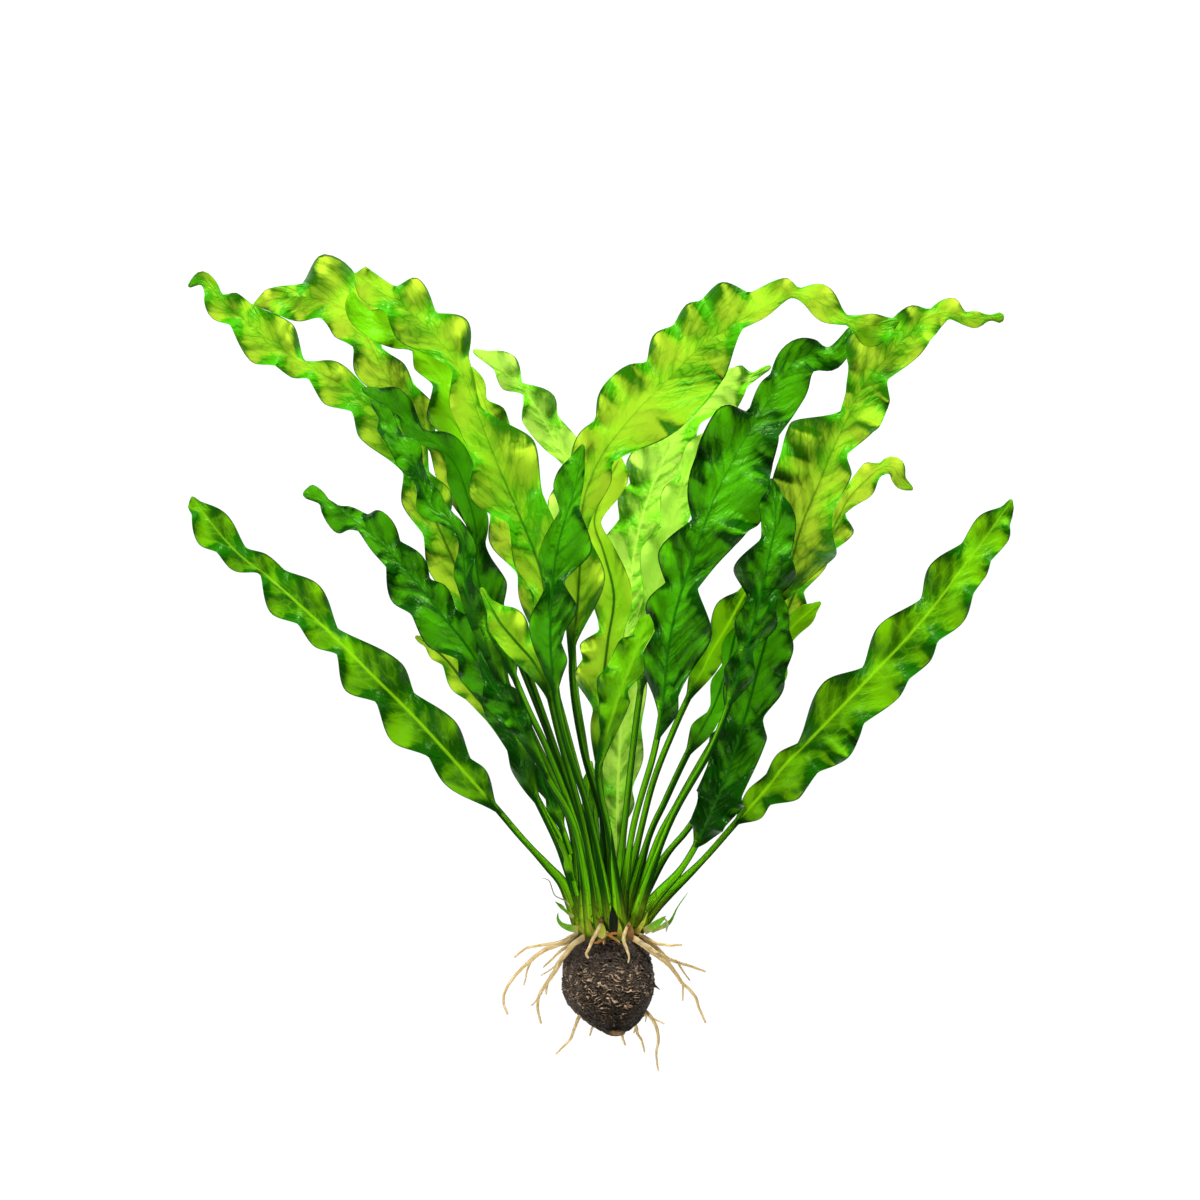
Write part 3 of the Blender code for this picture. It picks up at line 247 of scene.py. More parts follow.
# One entry for each leaf, named after its node: rib from stalk to tip (x, y from the crown, z), its roll in
# degrees where it has any, then both margins seen from above from where the blade starts, peaks and necks of
# the lobes by turns. light makes a leaf paler or darker than its tone, partly its own colour and partly
# painted light and shade, ruffle scales its waves, stalk is how brightly its stalk is painted lit, and tip
# its half-width at the end
leaves = {
    "back_left": dict(
        tone="pale",
        rib=((-4, 36, 4), (-8, 63, 4.5), (-11.5, 88, 4.5), (-12.5, 132, 5), (-12, 148, 5), (-13.5, 158, 5),
             (-17.5, 164.5, 5), (-21.5, 172, 5), (-25, 178, 5), (-29, 183, 5), (-34, 187.5, 4.5),
             (-40, 192, 4), (-45.5, 196, 3)),
        left=((-12.8, 122), (-20.3, 144.5), (-14.7, 156), (-28.7, 171.5), (-28.6, 181), (-35.7, 183),
              (-38.8, 190.2)),
        right=((-10, 122), (-6.5, 142), (-8.5, 153), (-10.5, 166.5), (-17, 174), (-17.8, 180), (-29, 185),
               (-31.2, 193.5), (-41, 195.8))),
    "back_pale": dict(
        tone="pale", light=-0.08, ruffle=1.35,
        rib=((2, 14, 4), (3, 24, 4.5), (3.4, 50, 5), (5, 80, 5), (6.5, 105, 5), (9, 128, 5), (12, 141, 5),
             (15, 150, 5), (20, 161, 5), (26, 171, 5), (32, 178.5, 5), (38, 183.5, 4.5), (46, 185.8, 4),
             (55, 190.5, 3)),
        left=((1.2, 20), (-1.4, 31), (-0.5, 35), (-3.0, 43), (-2.0, 48), (-3.8, 57), (-1.5, 68), (-4, 84),
              (-2, 96), (-3.5, 109), (0, 119), (-2.5, 129), (3.8, 139), (3.5, 147), (7.5, 151),
              (6.3, 158.5), (17, 171), (25, 183), (34, 186), (43.5, 190.5), (50, 187.5)),
        right=((3.6, 20), (6.0, 31), (5.4, 35), (9.0, 43), (8.2, 48), (12.0, 59), (11.2, 69), (13.2, 82),
               (12.6, 95), (15.5, 110), (15.8, 118), (20.5, 132), (20.5, 140), (27, 154), (31, 171),
               (42.5, 175.5), (46.5, 183.3))),
    "back_curled": dict(
        tone="bright", light=-0.05, stalk=0.5,
        rib=((18.5, 24, 4.5), (28, 36, 5), (38, 54, 5), (47.5, 76, 5.5), (54, 92, 5.5), (59, 104, 5.5),
             (62.5, 113, 5.5), (68, 123, 5.5), (74, 132, 5.5), (78, 140, 5.5), (82, 147, 6), (87, 152, 6),
             (92, 156, 7), (96, 156.3, 7), (99, 152, 5), (102.8, 148.8, 4)),
        left=((45.5, 77), (48, 92), (55, 100), (54, 114), (61, 119), (64, 133), (71.5, 138), (74, 148),
              (81, 150.8), (86.5, 157.9), (91, 157.4), (97, 159.9), (100.4, 153)),
        right=((48.5, 75), (59, 89), (60, 98), (67.3, 107.5), (66, 114.5), (73, 122), (75.5, 128),
               (83, 134.5), (79.8, 140.5), (88.5, 146.5), (92, 153.3), (97.5, 149.5))),
    "low_left": dict(
        tone="mid", light=-0.14, stalk=0.5,
        rib=((-14.5, 15, 7.8), (-20, 21.7, 7), (-29.5, 32, 6), (-38, 42, 5.5), (-54, 60, 5), (-64, 71, 5),
             (-78, 85, 4.8), (-90, 97, 4.8), (-100, 106.5, 4.8), (-114, 119, 4.6), (-122, 125, 4.4),
             (-130, 133, 4), (-140.5, 146.5, 2.5)),
        left=((-38, 40), (-55.5, 50), (-60.5, 59), (-73, 64), (-78, 77.3), (-88.5, 81), (-91.3, 93.5),
              (-99.5, 96.3), (-104.3, 103.5), (-113.5, 107), (-117.5, 120.8), (-127.5, 122.3),
              (-131.5, 127.6), (-138.3, 130.8), (-140, 140), (-141.8, 143)),
        right=((-37, 44), (-41.5, 55), (-46.3, 58.3), (-51.5, 71), (-65.3, 80.3), (-69.5, 90.5), (-91, 102),
               (-97.5, 117), (-109, 121.8), (-114.8, 127), (-122, 129.3), (-127.5, 139.5), (-137.5, 145))),
    "small_left": dict(
        tone="bright", light=0.05, stalk=0.4,
        rib=((-13.5, 26, 11), (-23, 43.5, 13), (-30.5, 58, 15), (-38, 71, 16), (-46, 81, 16), (-53, 90, 15),
             (-59, 95.7, 14), (-64.8, 99.5, 13)),
        left=((-29, 55), (-41.5, 71.8), (-47.7, 78.2), (-52.9, 82), (-55.5, 89.7), (-59.5, 92), (-61.5, 96),
              (-63.2, 97)),
        right=((-27.5, 56), (-32, 71), (-38, 76), (-42, 87), (-48, 91), (-53, 96.5), (-59, 98.5))),
    "lime_centre": dict(
        tone="bright", light=0.22, stalk=0.3,
        rib=((-1.5, 30, 11), (-3, 58, 14), (-2, 80, 15.5), (0, 98, 16), (2, 113, 16), (-1.5, 128, 16),
             (-4.5, 138, 16), (-1.5, 148, 16), (4.4, 160, 15)),
        left=((-4, 55), (-5.9, 70), (-5, 75), (-11.3, 87), (-8.5, 92), (-9.5, 96.5), (-2.8, 101.5),
              (-6, 113), (-5.5, 124), (-10, 137), (-7, 147), (-4, 155)),
        right=((-1.5, 55), (1, 70), (1.5, 80), (5, 92), (5.5, 101), (8.2, 112), (-2.3, 137.5), (6.2, 150),
               (5.8, 157))),
    "back_centre": dict(
        tone="pale", light=0.12, stalk=0.8,
        rib=((6, 40, 14), (10, 75, 20), (14, 100, 24), (18, 125, 26), (22, 140, 26), (26, 152, 26),
             (35, 169, 24)),
        left=((10.5, 82), (9, 102), (12, 113), (11, 128), (17.5, 137), (18, 148), (23, 153), (26, 163)),
        right=((12, 82), (20, 100), (19, 113), (27, 129), (26.8, 138), (33, 149), (33, 159))),
    "small_right": dict(
        tone="mid", light=0.6, stalk=0.3,
        rib=((18, 23.5, 10), (27.5, 35.5, 12), (37, 52, 14), (46.5, 72, 17), (53, 84, 18), (57, 94, 18),
             (61, 101.5, 18), (66, 106.5, 18), (71.5, 111, 17)),
        left=((49, 78), (49, 90), (53.5, 95), (55, 104), (61, 106), (64.5, 109.5), (68, 110.5)),
        right=((50.5, 77), (60, 85.5), (59.5, 94), (68, 103.3), (70, 107.5))),
    "low_right": dict(
        tone="mid", light=-0.09, stalk=0.8,
        rib=((16, 8.5, 8), (31, 23, 6.5), (43, 36.5, 5.5), (52, 46.5, 5.2), (60, 56.5, 5), (70, 66.5, 5),
             (80, 77, 4.8), (90, 87.5, 4.8), (100, 98, 4.8), (110, 109.7, 4.8), (118, 120.5, 4.6),
             (126, 131, 4), (136.3, 145.6, 2.5)),
        left=((43, 38), (47.3, 48), (53.3, 53), (57, 59.8), (64, 63.5), (72.5, 84), (86, 89), (91.3, 103.3),
              (105.5, 112), (108.3, 123.3), (119.5, 131), (123.7, 138.5), (133, 143.3)),
        right=((44, 36), (52, 38.3), (54.5, 42.6), (65, 45.2), (70.8, 53.8), (77.5, 56.2), (81, 58.8),
               (84.3, 64), (86, 70), (98, 78.5), (101.3, 85), (108.5, 90.7), (111, 97.8), (120, 104.3),
               (123, 113.8), (127.3, 119.3), (128.8, 124.6), (135, 131.5), (135.2, 136.2), (136.8, 141.5))),
    "outer_left": dict(
        tone="bright", light=-0.09, stalk=0.6,
        rib=((-12.5, 36, 19), (-24.5, 65, 25), (-34, 84, 29), (-43, 105, 31), (-50, 121, 32),
             (-57, 137, 33), (-63, 152, 33), (-70, 165, 33), (-79, 176, 33), (-89.8, 184, 33),
             (-101.5, 190.5, 32), (-112, 197.5, 32), (-124.3, 207.6, 31), (-129, 211.6, 31),
             (-132.4, 216, 30), (-136, 218.8, 30), (-140.4, 216.5, 29)),
        left=((-35, 83), (-46, 96), (-50, 108), (-60, 121.5), (-61.7, 133.5), (-68.8, 143.5), (-68.3, 154),
              (-83, 165.8), (-85.5, 174.5), (-95, 177.3), (-99.7, 185.5), (-106.5, 186.4), (-111, 189.8),
              (-119.5, 191.5), (-126, 203.4), (-132.6, 206), (-134.6, 213.8)),
        right=((-33, 84), (-35.5, 98), (-42, 105), (-41, 116), (-48, 121.5), (-47.6, 128.5), (-53, 136.5),
               (-52.3, 147.5), (-59.7, 154.5), (-62, 168), (-71, 172.5), (-71, 180), (-81, 183),
               (-89, 190.5), (-101.5, 191.8), (-105.5, 204), (-119, 210.6), (-123.5, 214.1), (-129, 213.9),
               (-133.5, 221))),
    "arch_left": dict(
        tone="bright", light=-0.04, stalk=0.3,
        rib=((-11, 38, 15), (-19.5, 65, 18), (-32, 97, 20), (-43, 127, 20), (-50, 147, 20), (-58, 164, 20),
             (-67, 177, 20), (-75, 188, 20), (-80, 198, 20), (-85.5, 206.5, 20), (-92.5, 211.5, 20),
             (-101, 213.3, 19), (-110, 213, 18), (-119, 210.9, 17)),
        left=((-47.5, 136), (-57, 151), (-60, 162), (-69, 166), (-74, 179), (-85, 188), (-85.3, 196.3),
              (-92, 200.3), (-96, 206), (-104, 205.2), (-109, 206.8)),
        right=((-45, 138), (-50, 156), (-58, 165), (-59, 178), (-65, 184), (-68, 190.5), (-76, 196.5),
               (-77, 211), (-84, 219.5), (-92.5, 227), (-104, 217.6), (-113.5, 216.2))),
    "inner_left": dict(
        tone="bright", light=-0.01, stalk=0.2,
        rib=((-6, 36, 13), (-14, 68, 13), (-20, 90, 14), (-24, 108, 15), (-28, 124, 15), (-32, 140, 15),
             (-36, 158, 15), (-40, 174, 15), (-46, 190, 14)),
        left=((-22, 94), (-29.8, 112), (-30.4, 120.5), (-40, 131.5), (-39.5, 140), (-46, 150), (-44, 160),
              (-48, 170), (-46, 180)),
        right=((-20, 94), (-17.5, 108), (-21.5, 118), (-18, 132), (-25, 141), (-24.5, 156), (-31, 163),
               (-34.3, 175), (-40.8, 179), (-41.4, 185))),
    "inner_right": dict(
        tone="mid", light=-0.02, stalk=0.6,
        rib=((9, 26, 17), (15, 50, 19), (22, 68, 20), (27, 79, 20.5), (31, 87, 21), (35, 95, 21),
             (40, 103, 21), (49, 120, 20)),
        left=((26, 80), (27.6, 87.5), (33, 95.5), (36, 109.8), (43.3, 114.5)),
        right=((27.5, 78.5), (35, 86), (38.5, 91), (45, 95), (46.5, 102.5), (52, 109))),
    "hidden_right": dict(
        tone="deep", light=0.5, stalk=0.2,
        rib=((13, 30, 21), (19, 44, 26), (24, 55, 30), (28, 63, 32), (32, 70, 34), (36, 78, 35),
             (40, 90, 36), (43, 103, 35)),
        left=((26.5, 61.5), (28.2, 70.5), (34, 75), (34.5, 85), (38, 90), (38, 97)),
        right=((27.5, 60), (34.5, 66.5), (37, 71), (43, 80), (44, 88), (47, 95))),
    "outer_right": dict(
        tone="bright", light=-0.08, ruffle=0.75, stalk=0.7, tip=2.2,
        rib=((15.5, 28, 22), (23, 43, 26), (30.5, 56.5, 28), (38.5, 70, 29), (46.5, 84, 30), (53, 98, 33),
             (58, 113, 37), (61.5, 126, 42), (65, 138, 47), (70, 150, 51), (74, 160, 52), (78.5, 170, 53),
             (82.5, 179, 54), (86.5, 185.5, 54), (92, 191.5, 54), (97.5, 197.5, 54), (103, 203.3, 53),
             (108.5, 206.5, 52), (114, 207, 51), (122, 205, 50), (127, 205.5, 49), (131.7, 205.5, 48)),
        left=((54.5, 104), (52, 117), (57.5, 128), (55, 153), (57.5, 161), (60.5, 170.7), (77, 174),
              (79, 181), (79.8, 189), (80.5, 200), (93, 204), (98.5, 208.4), (107, 208.3), (114, 212),
              (119, 207.4), (122.3, 207.7), (127, 206.3)),
        right=((58.6, 111), (75.8, 125.5), (75.3, 142.5), (80.8, 152.5), (79.3, 160), (88, 167.2),
               (91, 171), (93.5, 177), (92.5, 184.5), (104, 193.5), (106.7, 197.6), (110.8, 202),
               (113, 205), (121.4, 202), (127, 204.8))),
    "side_left": dict(
        tone="deep", light=-0.02, stalk=0.2, tip=2.0,
        rib=((-16, 28, 29), (-26, 50, 40), (-32, 68, 47), (-43, 90.5, 50), (-55, 106.5, 50),
             (-67, 121.3, 48), (-79, 133.7, 45), (-90, 142, 40), (-96, 145.5, 38), (-101.7, 147.5, 37)),
        left=((-24, 44), (-32.3, 55), (-34, 63), (-40.5, 72.7), (-42.5, 78), (-49.3, 85.3), (-50, 92),
              (-60.5, 96.8), (-65, 106.5), (-72.3, 111.5), (-73.2, 122), (-77.6, 126.7), (-83, 134.4),
              (-92.5, 135.3), (-96, 143.6), (-101.5, 145.6)),
        right=((-22.5, 45), (-24.5, 58), (-29, 66), (-33, 78), (-42, 92.5), (-44.3, 104.5), (-50.6, 108.7),
               (-53.2, 115.6), (-59.3, 118.8), (-61.3, 126), (-69.3, 131.5), (-72.5, 139.2), (-81, 140.8),
               (-84.5, 142.2), (-92, 143.6), (-98, 150))),
    "dark_left": dict(
        tone="deep", light=0.02, stalk=0.6,
        rib=((-10, 34, 29), (-19.5, 60, 37), (-27, 76, 40), (-32, 88, 41), (-37, 100, 42), (-42, 113, 42),
             (-44, 125, 43), (-44.2, 136, 44), (-47, 147, 44), (-50.5, 156, 44), (-56, 162.5, 44),
             (-63, 168, 43), (-71, 175, 43), (-82, 182.3, 41)),
        left=((-32, 85), (-39, 97), (-43, 105), (-50, 117.5), (-46.5, 133), (-53.2, 150), (-55, 160),
              (-67.5, 166.5), (-70, 173), (-76, 177)),
        right=((-30.5, 87), (-29, 99), (-35, 107), (-33.7, 117.5), (-40.8, 130.5), (-40, 140), (-43.5, 148),
               (-49.5, 165), (-61.5, 168.5), (-68, 181), (-76, 182.5))),
    "tip_left": dict(
        tone="mid", light=0.06, stalk=0.35,
        rib=((-8, 34, 25), (-17, 60, 29), (-27, 88, 31), (-37, 113, 32), (-44, 135, 32), (-47.5, 155, 32),
             (-50, 172, 32), (-54, 182, 32), (-59, 190, 32), (-68, 198.5, 32), (-76, 203.5, 31),
             (-83, 208.5, 30), (-86, 215.3, 29)),
        left=((-47, 144), (-51, 154), (-52, 163), (-60.5, 172), (-58.5, 183.5), (-64.4, 188.5),
              (-65.5, 195), (-72, 196), (-78.5, 198.5), (-87.5, 207)),
        right=((-43.5, 146), (-41, 156), (-43.5, 165), (-43, 178), (-50.5, 185), (-55, 196), (-66, 202),
               (-72, 208), (-80, 209), (-83.5, 212.5))),
    "side_right": dict(
        tone="deep", stalk=0.9,
        rib=((16, 12, 21), (24, 21, 28), (30, 31, 34), (35, 42, 39), (39, 52, 43), (42.5, 62, 45),
             (46, 74, 47), (49.5, 87, 47), (53, 100, 47), (57, 114, 46)),
        left=((28.8, 30.5), (27.5, 38), (29.8, 44.5), (29.6, 48.7), (33.2, 57), (34, 67), (39, 72),
              (38.5, 84), (44.5, 91), (48.3, 99), (51, 106), (53, 111)),
        right=((30.5, 29), (37.8, 33.5), (39.5, 37.2), (45.2, 42), (45, 47.5), (52.8, 65), (51.5, 72.5),
               (58.5, 82), (58.8, 87), (61.5, 94), (60.3, 101), (60, 108))),
    "ribbon_left": dict(
        tone="deep", light=-0.1, stalk=0.8,
        rib=((-10.5, 32, 37), (-23, 58, 50), (-34, 82, 57), (-42, 102, 59), (-46.5, 114, 60),
             (-47.5, 124, 60), (-48.3, 132, 60), (-53, 138, 60), (-59.5, 143.5, 59), (-62, 152, 58),
             (-66, 160, 58), (-72, 168, 57), (-78.5, 178, 56)),
        roll=(0, 0, 0, 20, 30, 30, 20, 0, -20, -30, -30, -20, 0),
        left=((-35, 82), (-41, 92), (-45, 102), (-50.2, 116), (-50, 126), (-50.5, 133.5), (-54.5, 136.3),
              (-62.5, 141), (-64, 149), (-70, 158), (-75.8, 165), (-76, 172.5)),
        right=((-33, 83), (-35, 93), (-40, 102), (-41.5, 114), (-44.5, 122), (-44.3, 132), (-51, 140.3),
               (-55.5, 145.5), (-59.5, 152), (-62.5, 162), (-68, 167), (-72, 174))),
    "broad_left": dict(
        tone="bright", light=-0.07, ruffle=0.8, stalk=0.2,
        rib=((-6, 38, 38), (-14.3, 66, 50), (-18.4, 91, 54), (-20.6, 112, 56), (-23.5, 125, 57),
             (-29.5, 140, 58), (-34.5, 151.5, 58), (-40, 165, 59), (-44, 176, 60), (-48, 186, 60),
             (-53, 194, 60), (-60, 202, 60), (-69, 209.5, 59), (-76.5, 214.5, 58), (-84, 220, 57)),
        left=((-19.5, 90), (-25.5, 105), (-24.5, 113), (-31, 123), (-33, 137), (-46, 145.5), (-44.5, 158),
              (-52.3, 174.5), (-51.8, 188), (-69.8, 198), (-73.5, 207), (-82, 211.5)),
        right=((-17.5, 90), (-14, 105), (-16.5, 115), (-15, 131), (-21.7, 147), (-24.3, 164), (-42, 175.5),
               (-43.6, 181), (-46.2, 192.5), (-46.6, 204.3), (-57, 207), (-62, 217.5), (-71, 215.8),
               (-80, 222))),
    "arch_centre": dict(
        tone="bright", light=-0.05, ruffle=0.8, stalk=0.1,
        rib=((-1, 34, 38), (-8.3, 62, 50), (-12, 88, 58), (-10, 112, 63), (-9, 130, 64), (-8.3, 143, 64),
             (-5, 153.5, 64), (0, 162.5, 64), (10, 174.7, 64), (20, 184.8, 64), (30, 194.7, 64),
             (40, 202, 64), (50, 207.3, 64), (60, 212.5, 63), (66, 212, 63), (72, 209, 62), (79, 204.3, 62),
             (87, 202.5, 61), (96.5, 204, 60)),
        left=((-13, 92), (-14.5, 116), (-13, 127), (-14, 140), (-12.5, 152), (-9.8, 166.5), (-4.3, 171.3),
              (-3, 180), (0.3, 184.8), (6, 189.1), (12.6, 190.4), (15.3, 199.6), (21.5, 202.5), (26, 209.4),
              (30.5, 210.7), (36.5, 216.3), (47, 213.5), (57.5, 218), (63.3, 214.8), (71.5, 216),
              (79, 206.2), (87, 206.4)),
        right=((-9.5, 97), (-1, 119), (-6.8, 134), (0.8, 150), (1.5, 157), (21, 166.5), (26, 170.3),
               (38, 184.5), (44.8, 201.5), (50.5, 204.2), (60.5, 211.6), (70, 204.3), (79, 202.6),
               (87.5, 195.5), (93.5, 199.5))),
    "dark_right": dict(
        tone="deep", light=0.02, stalk=0.9,
        rib=((8, 34, 40), (15, 60, 52), (18, 76, 55), (20, 95, 57), (22.5, 108, 57), (26.5, 121, 56),
             (30.5, 132, 56), (36, 147, 54), (44, 162.5, 51), (51.5, 175, 47), (57, 184.5, 45),
             (62.5, 191.5, 44), (69, 193.8, 42), (75, 194, 41), (81, 202.5, 39)),
        left=((15.5, 74), (11.2, 92.5), (15.5, 101.5), (12.4, 110), (19, 117.5), (16.8, 128), (27.8, 138.5),
              (26.7, 152), (29.2, 160), (34, 171.8), (47, 175.3), (50, 182.8), (54, 187), (60, 197.2),
              (73, 196.3)),
        right=((17.7, 66), (23.3, 74.5), (23.4, 80), (34.4, 99.5), (29.6, 115), (42.5, 130.3), (46.5, 134),
               (51.6, 139.5), (53, 150), (55.3, 158), (56, 165), (65.3, 178.5), (67, 187), (78.5, 190.2))),
    "front_right": dict(
        tone="deep", light=-0.16, stalk=0.3,
        rib=((20, 36, 38), (34, 62, 54), (41, 80, 60), (45, 93, 62), (48.5, 105, 63), (51, 116, 64),
             (53.5, 127, 64), (55.5, 139, 63), (54, 152, 61)),
        left=((39.5, 78), (38.5, 89), (43, 96), (42, 105), (46, 112.5), (41.5, 122.5), (50.5, 132),
              (50, 142.5), (53, 148)),
        right=((41.5, 77), (48.5, 86), (48, 95), (56, 103), (55, 111), (62, 119), (60.5, 126.5), (62, 134),
               (58.5, 145.5))),
    "front_left": dict(
        tone="deep", light=-0.18, stalk=0.7,
        rib=((-10.5, 34, 46), (-19.5, 52, 57), (-24, 61, 62), (-28.5, 69.5, 65), (-33.5, 77, 67),
             (-38.5, 84, 67), (-43, 92.3, 66)),
        left=((-21.5, 54), (-31, 67), (-34.5, 71), (-40.5, 76), (-41, 84)),
        right=((-20.3, 55), (-25, 69), (-26.7, 74.5), (-30, 82), (-36, 84.5), (-41, 89.5))),
    "short_left": dict(
        tone="bright", light=0.04, stalk=0.25,
        rib=((-8, 36, 50), (-16, 66, 66), (-20, 82, 70), (-24.5, 91, 71), (-30.5, 98, 72),
             (-36.5, 105.5, 72), (-42, 115.8, 70)),
        left=((-20, 79), (-29, 89.5), (-34, 94.5), (-39, 101), (-39.7, 106.5)),
        right=((-18.5, 80), (-21, 92.5), (-25, 98.5), (-28, 107), (-34, 109.8), (-38.5, 111.8))),
    "front_centre": dict(
        tone="mid", finish="deep", ruffle=0.75, light=-0.03, stalk=0.1,
        rib=((-5, 36, 50), (-14, 65, 68), (-17.8, 84, 75), (-19, 98, 78), (-18.7, 112, 79),
             (-17.5, 124, 80), (-14.8, 136, 80), (-11, 148, 79), (-8.4, 163, 77)),
        left=((-17, 82), (-26, 103.5), (-20.8, 116), (-22.8, 127), (-16, 141), (-18, 150), (-13, 158)),
        right=((-14.8, 82), (-13.4, 92), (-15.5, 98.5), (-10.2, 109), (-14.4, 117.5), (-5.5, 127.7),
               (-9.6, 142), (-7.7, 155))),
    "short_centre": dict(
        tone="mid", light=0.03, stalk=0.3,
        rib=((1, 30, 46), (-3.2, 52, 60), (-2, 62, 63), (1, 72, 65), (5, 84, 67), (9, 94, 67),
             (13.5, 107, 66)),
        left=((-5, 54), (-2.5, 68), (-3, 78), (-3.5, 86), (-0.5, 89.5), (3.5, 98), (8, 100), (10.3, 105.5)),
        right=((-1, 56), (7.2, 77.5), (6.5, 82), (12, 88), (11.5, 95), (15.2, 102))),
}

# torn and young leaves between the stalks; foot is their half-width low down, begin their way from the crown
scraps = {
    "torn_leaf": dict(
        tone="deep", light=0.05, foot=0.7, begin=40,
        rib=((-12.5, 27, 33), (-15.5, 36, 35), (-18.5, 43, 36), (-21.5, 50, 36), (-24, 57, 36)),
        left=((-16.2, 35.5), (-20.4, 41.5), (-20.8, 45), (-24, 49), (-25.2, 54)),
        right=((-14.6, 36.5), (-14.8, 42), (-18, 46), (-18.4, 50), (-22.5, 55.5))),
    "stub_leaf": dict(
        tone="mid", light=0.1, foot=0.7, begin=30,
        rib=((-10.5, 13, 32), (-12.2, 19.5, 33), (-14, 26, 34), (-16.4, 32, 34.5)),
        left=((-12.2, 18), (-14.8, 22.6), (-14.6, 25.5), (-16.4, 29.5)),
        right=((-11.3, 19.5), (-12, 24), (-14, 27), (-14.4, 30))),
    "young_leaf": dict(
        tone="mid", light=0.05, foot=0.5, begin=50,
        rib=((-6.2, 34, 33), (-6.8, 43, 34), (-6.4, 51, 35), (-5.6, 58, 35)),
        left=((-6.9, 37), (-9, 42.5), (-7.4, 46), (-8.6, 51), (-6.8, 55)),
        right=((-5.9, 37), (-4.4, 44), (-5.4, 48), (-4, 53), (-5, 56.5))),
}

# Colours of the leaf families: what a leaf's face sends back where it is pale and dark, what shines through
# it, and its rib. through and least are the largest and smallest shares of light that go through the blade,
# base is how much darker it is low down, and veins are darker than the blade, or paler if below 0
tones = {
    "pale": dict(
        face=(0.34, 0.64, 0.04), shade=(0.09, 0.38, 0.004), glow=(0.74, 0.96, 0.32),
        rib=(0.60, 0.78, 0.10), sheen=(0.8, 1.0, 0.5), through=0.82, least=0.12, ribThrough=0.85,
        veins=0.5, pleats=1.5, base=0.08, crinkle=1.0, gloss=0.22),
    "bright": dict(
        face=(0.18, 0.46, 0.007), shade=(0.028, 0.20, 0.001), glow=(0.79, 0.94, 0.20),
        rib=(0.004, 0.06, 0.001), sheen=(0.6, 1.0, 0.2), through=0.82, least=0.02, ribThrough=0.12,
        veins=0.6, pleats=1.0, base=0.35, crinkle=0.4, gloss=0.26),
    "mid": dict(
        face=(0.11, 0.36, 0.003), shade=(0.006, 0.085, 0.0004), glow=(0.60, 0.94, 0.05),
        rib=(0.30, 0.58, 0.02), sheen=(0.5, 1.0, 0.2), through=0.56, least=0.02, ribThrough=0.85,
        veins=-0.5, pleats=0.8, base=0.15, crinkle=0.4, gloss=0.24),
    "deep": dict(
        face=(0.04, 0.22, 0.002), shade=(0.002, 0.035, 0.0002), glow=(0.42, 0.93, 0.05),
        rib=(0.004, 0.07, 0.001), sheen=(0.45, 1.0, 0.25), through=0.48, least=0.01, ribThrough=0.15,
        veins=0.5, pleats=1.2, base=0.3, crinkle=0.5, gloss=0.24),
}
# stalk greens: light and dark are painted lit and shaded greens, base its pale foot, dried its withered end
stalkGreen = {"light": (0.16, 0.60, 0.002), "dark": (0.001, 0.04, 0.0003), "base": (0.44, 0.66, 0.02),
              "through": 0.04, "dried": (0.06, 0.028, 0.008)}


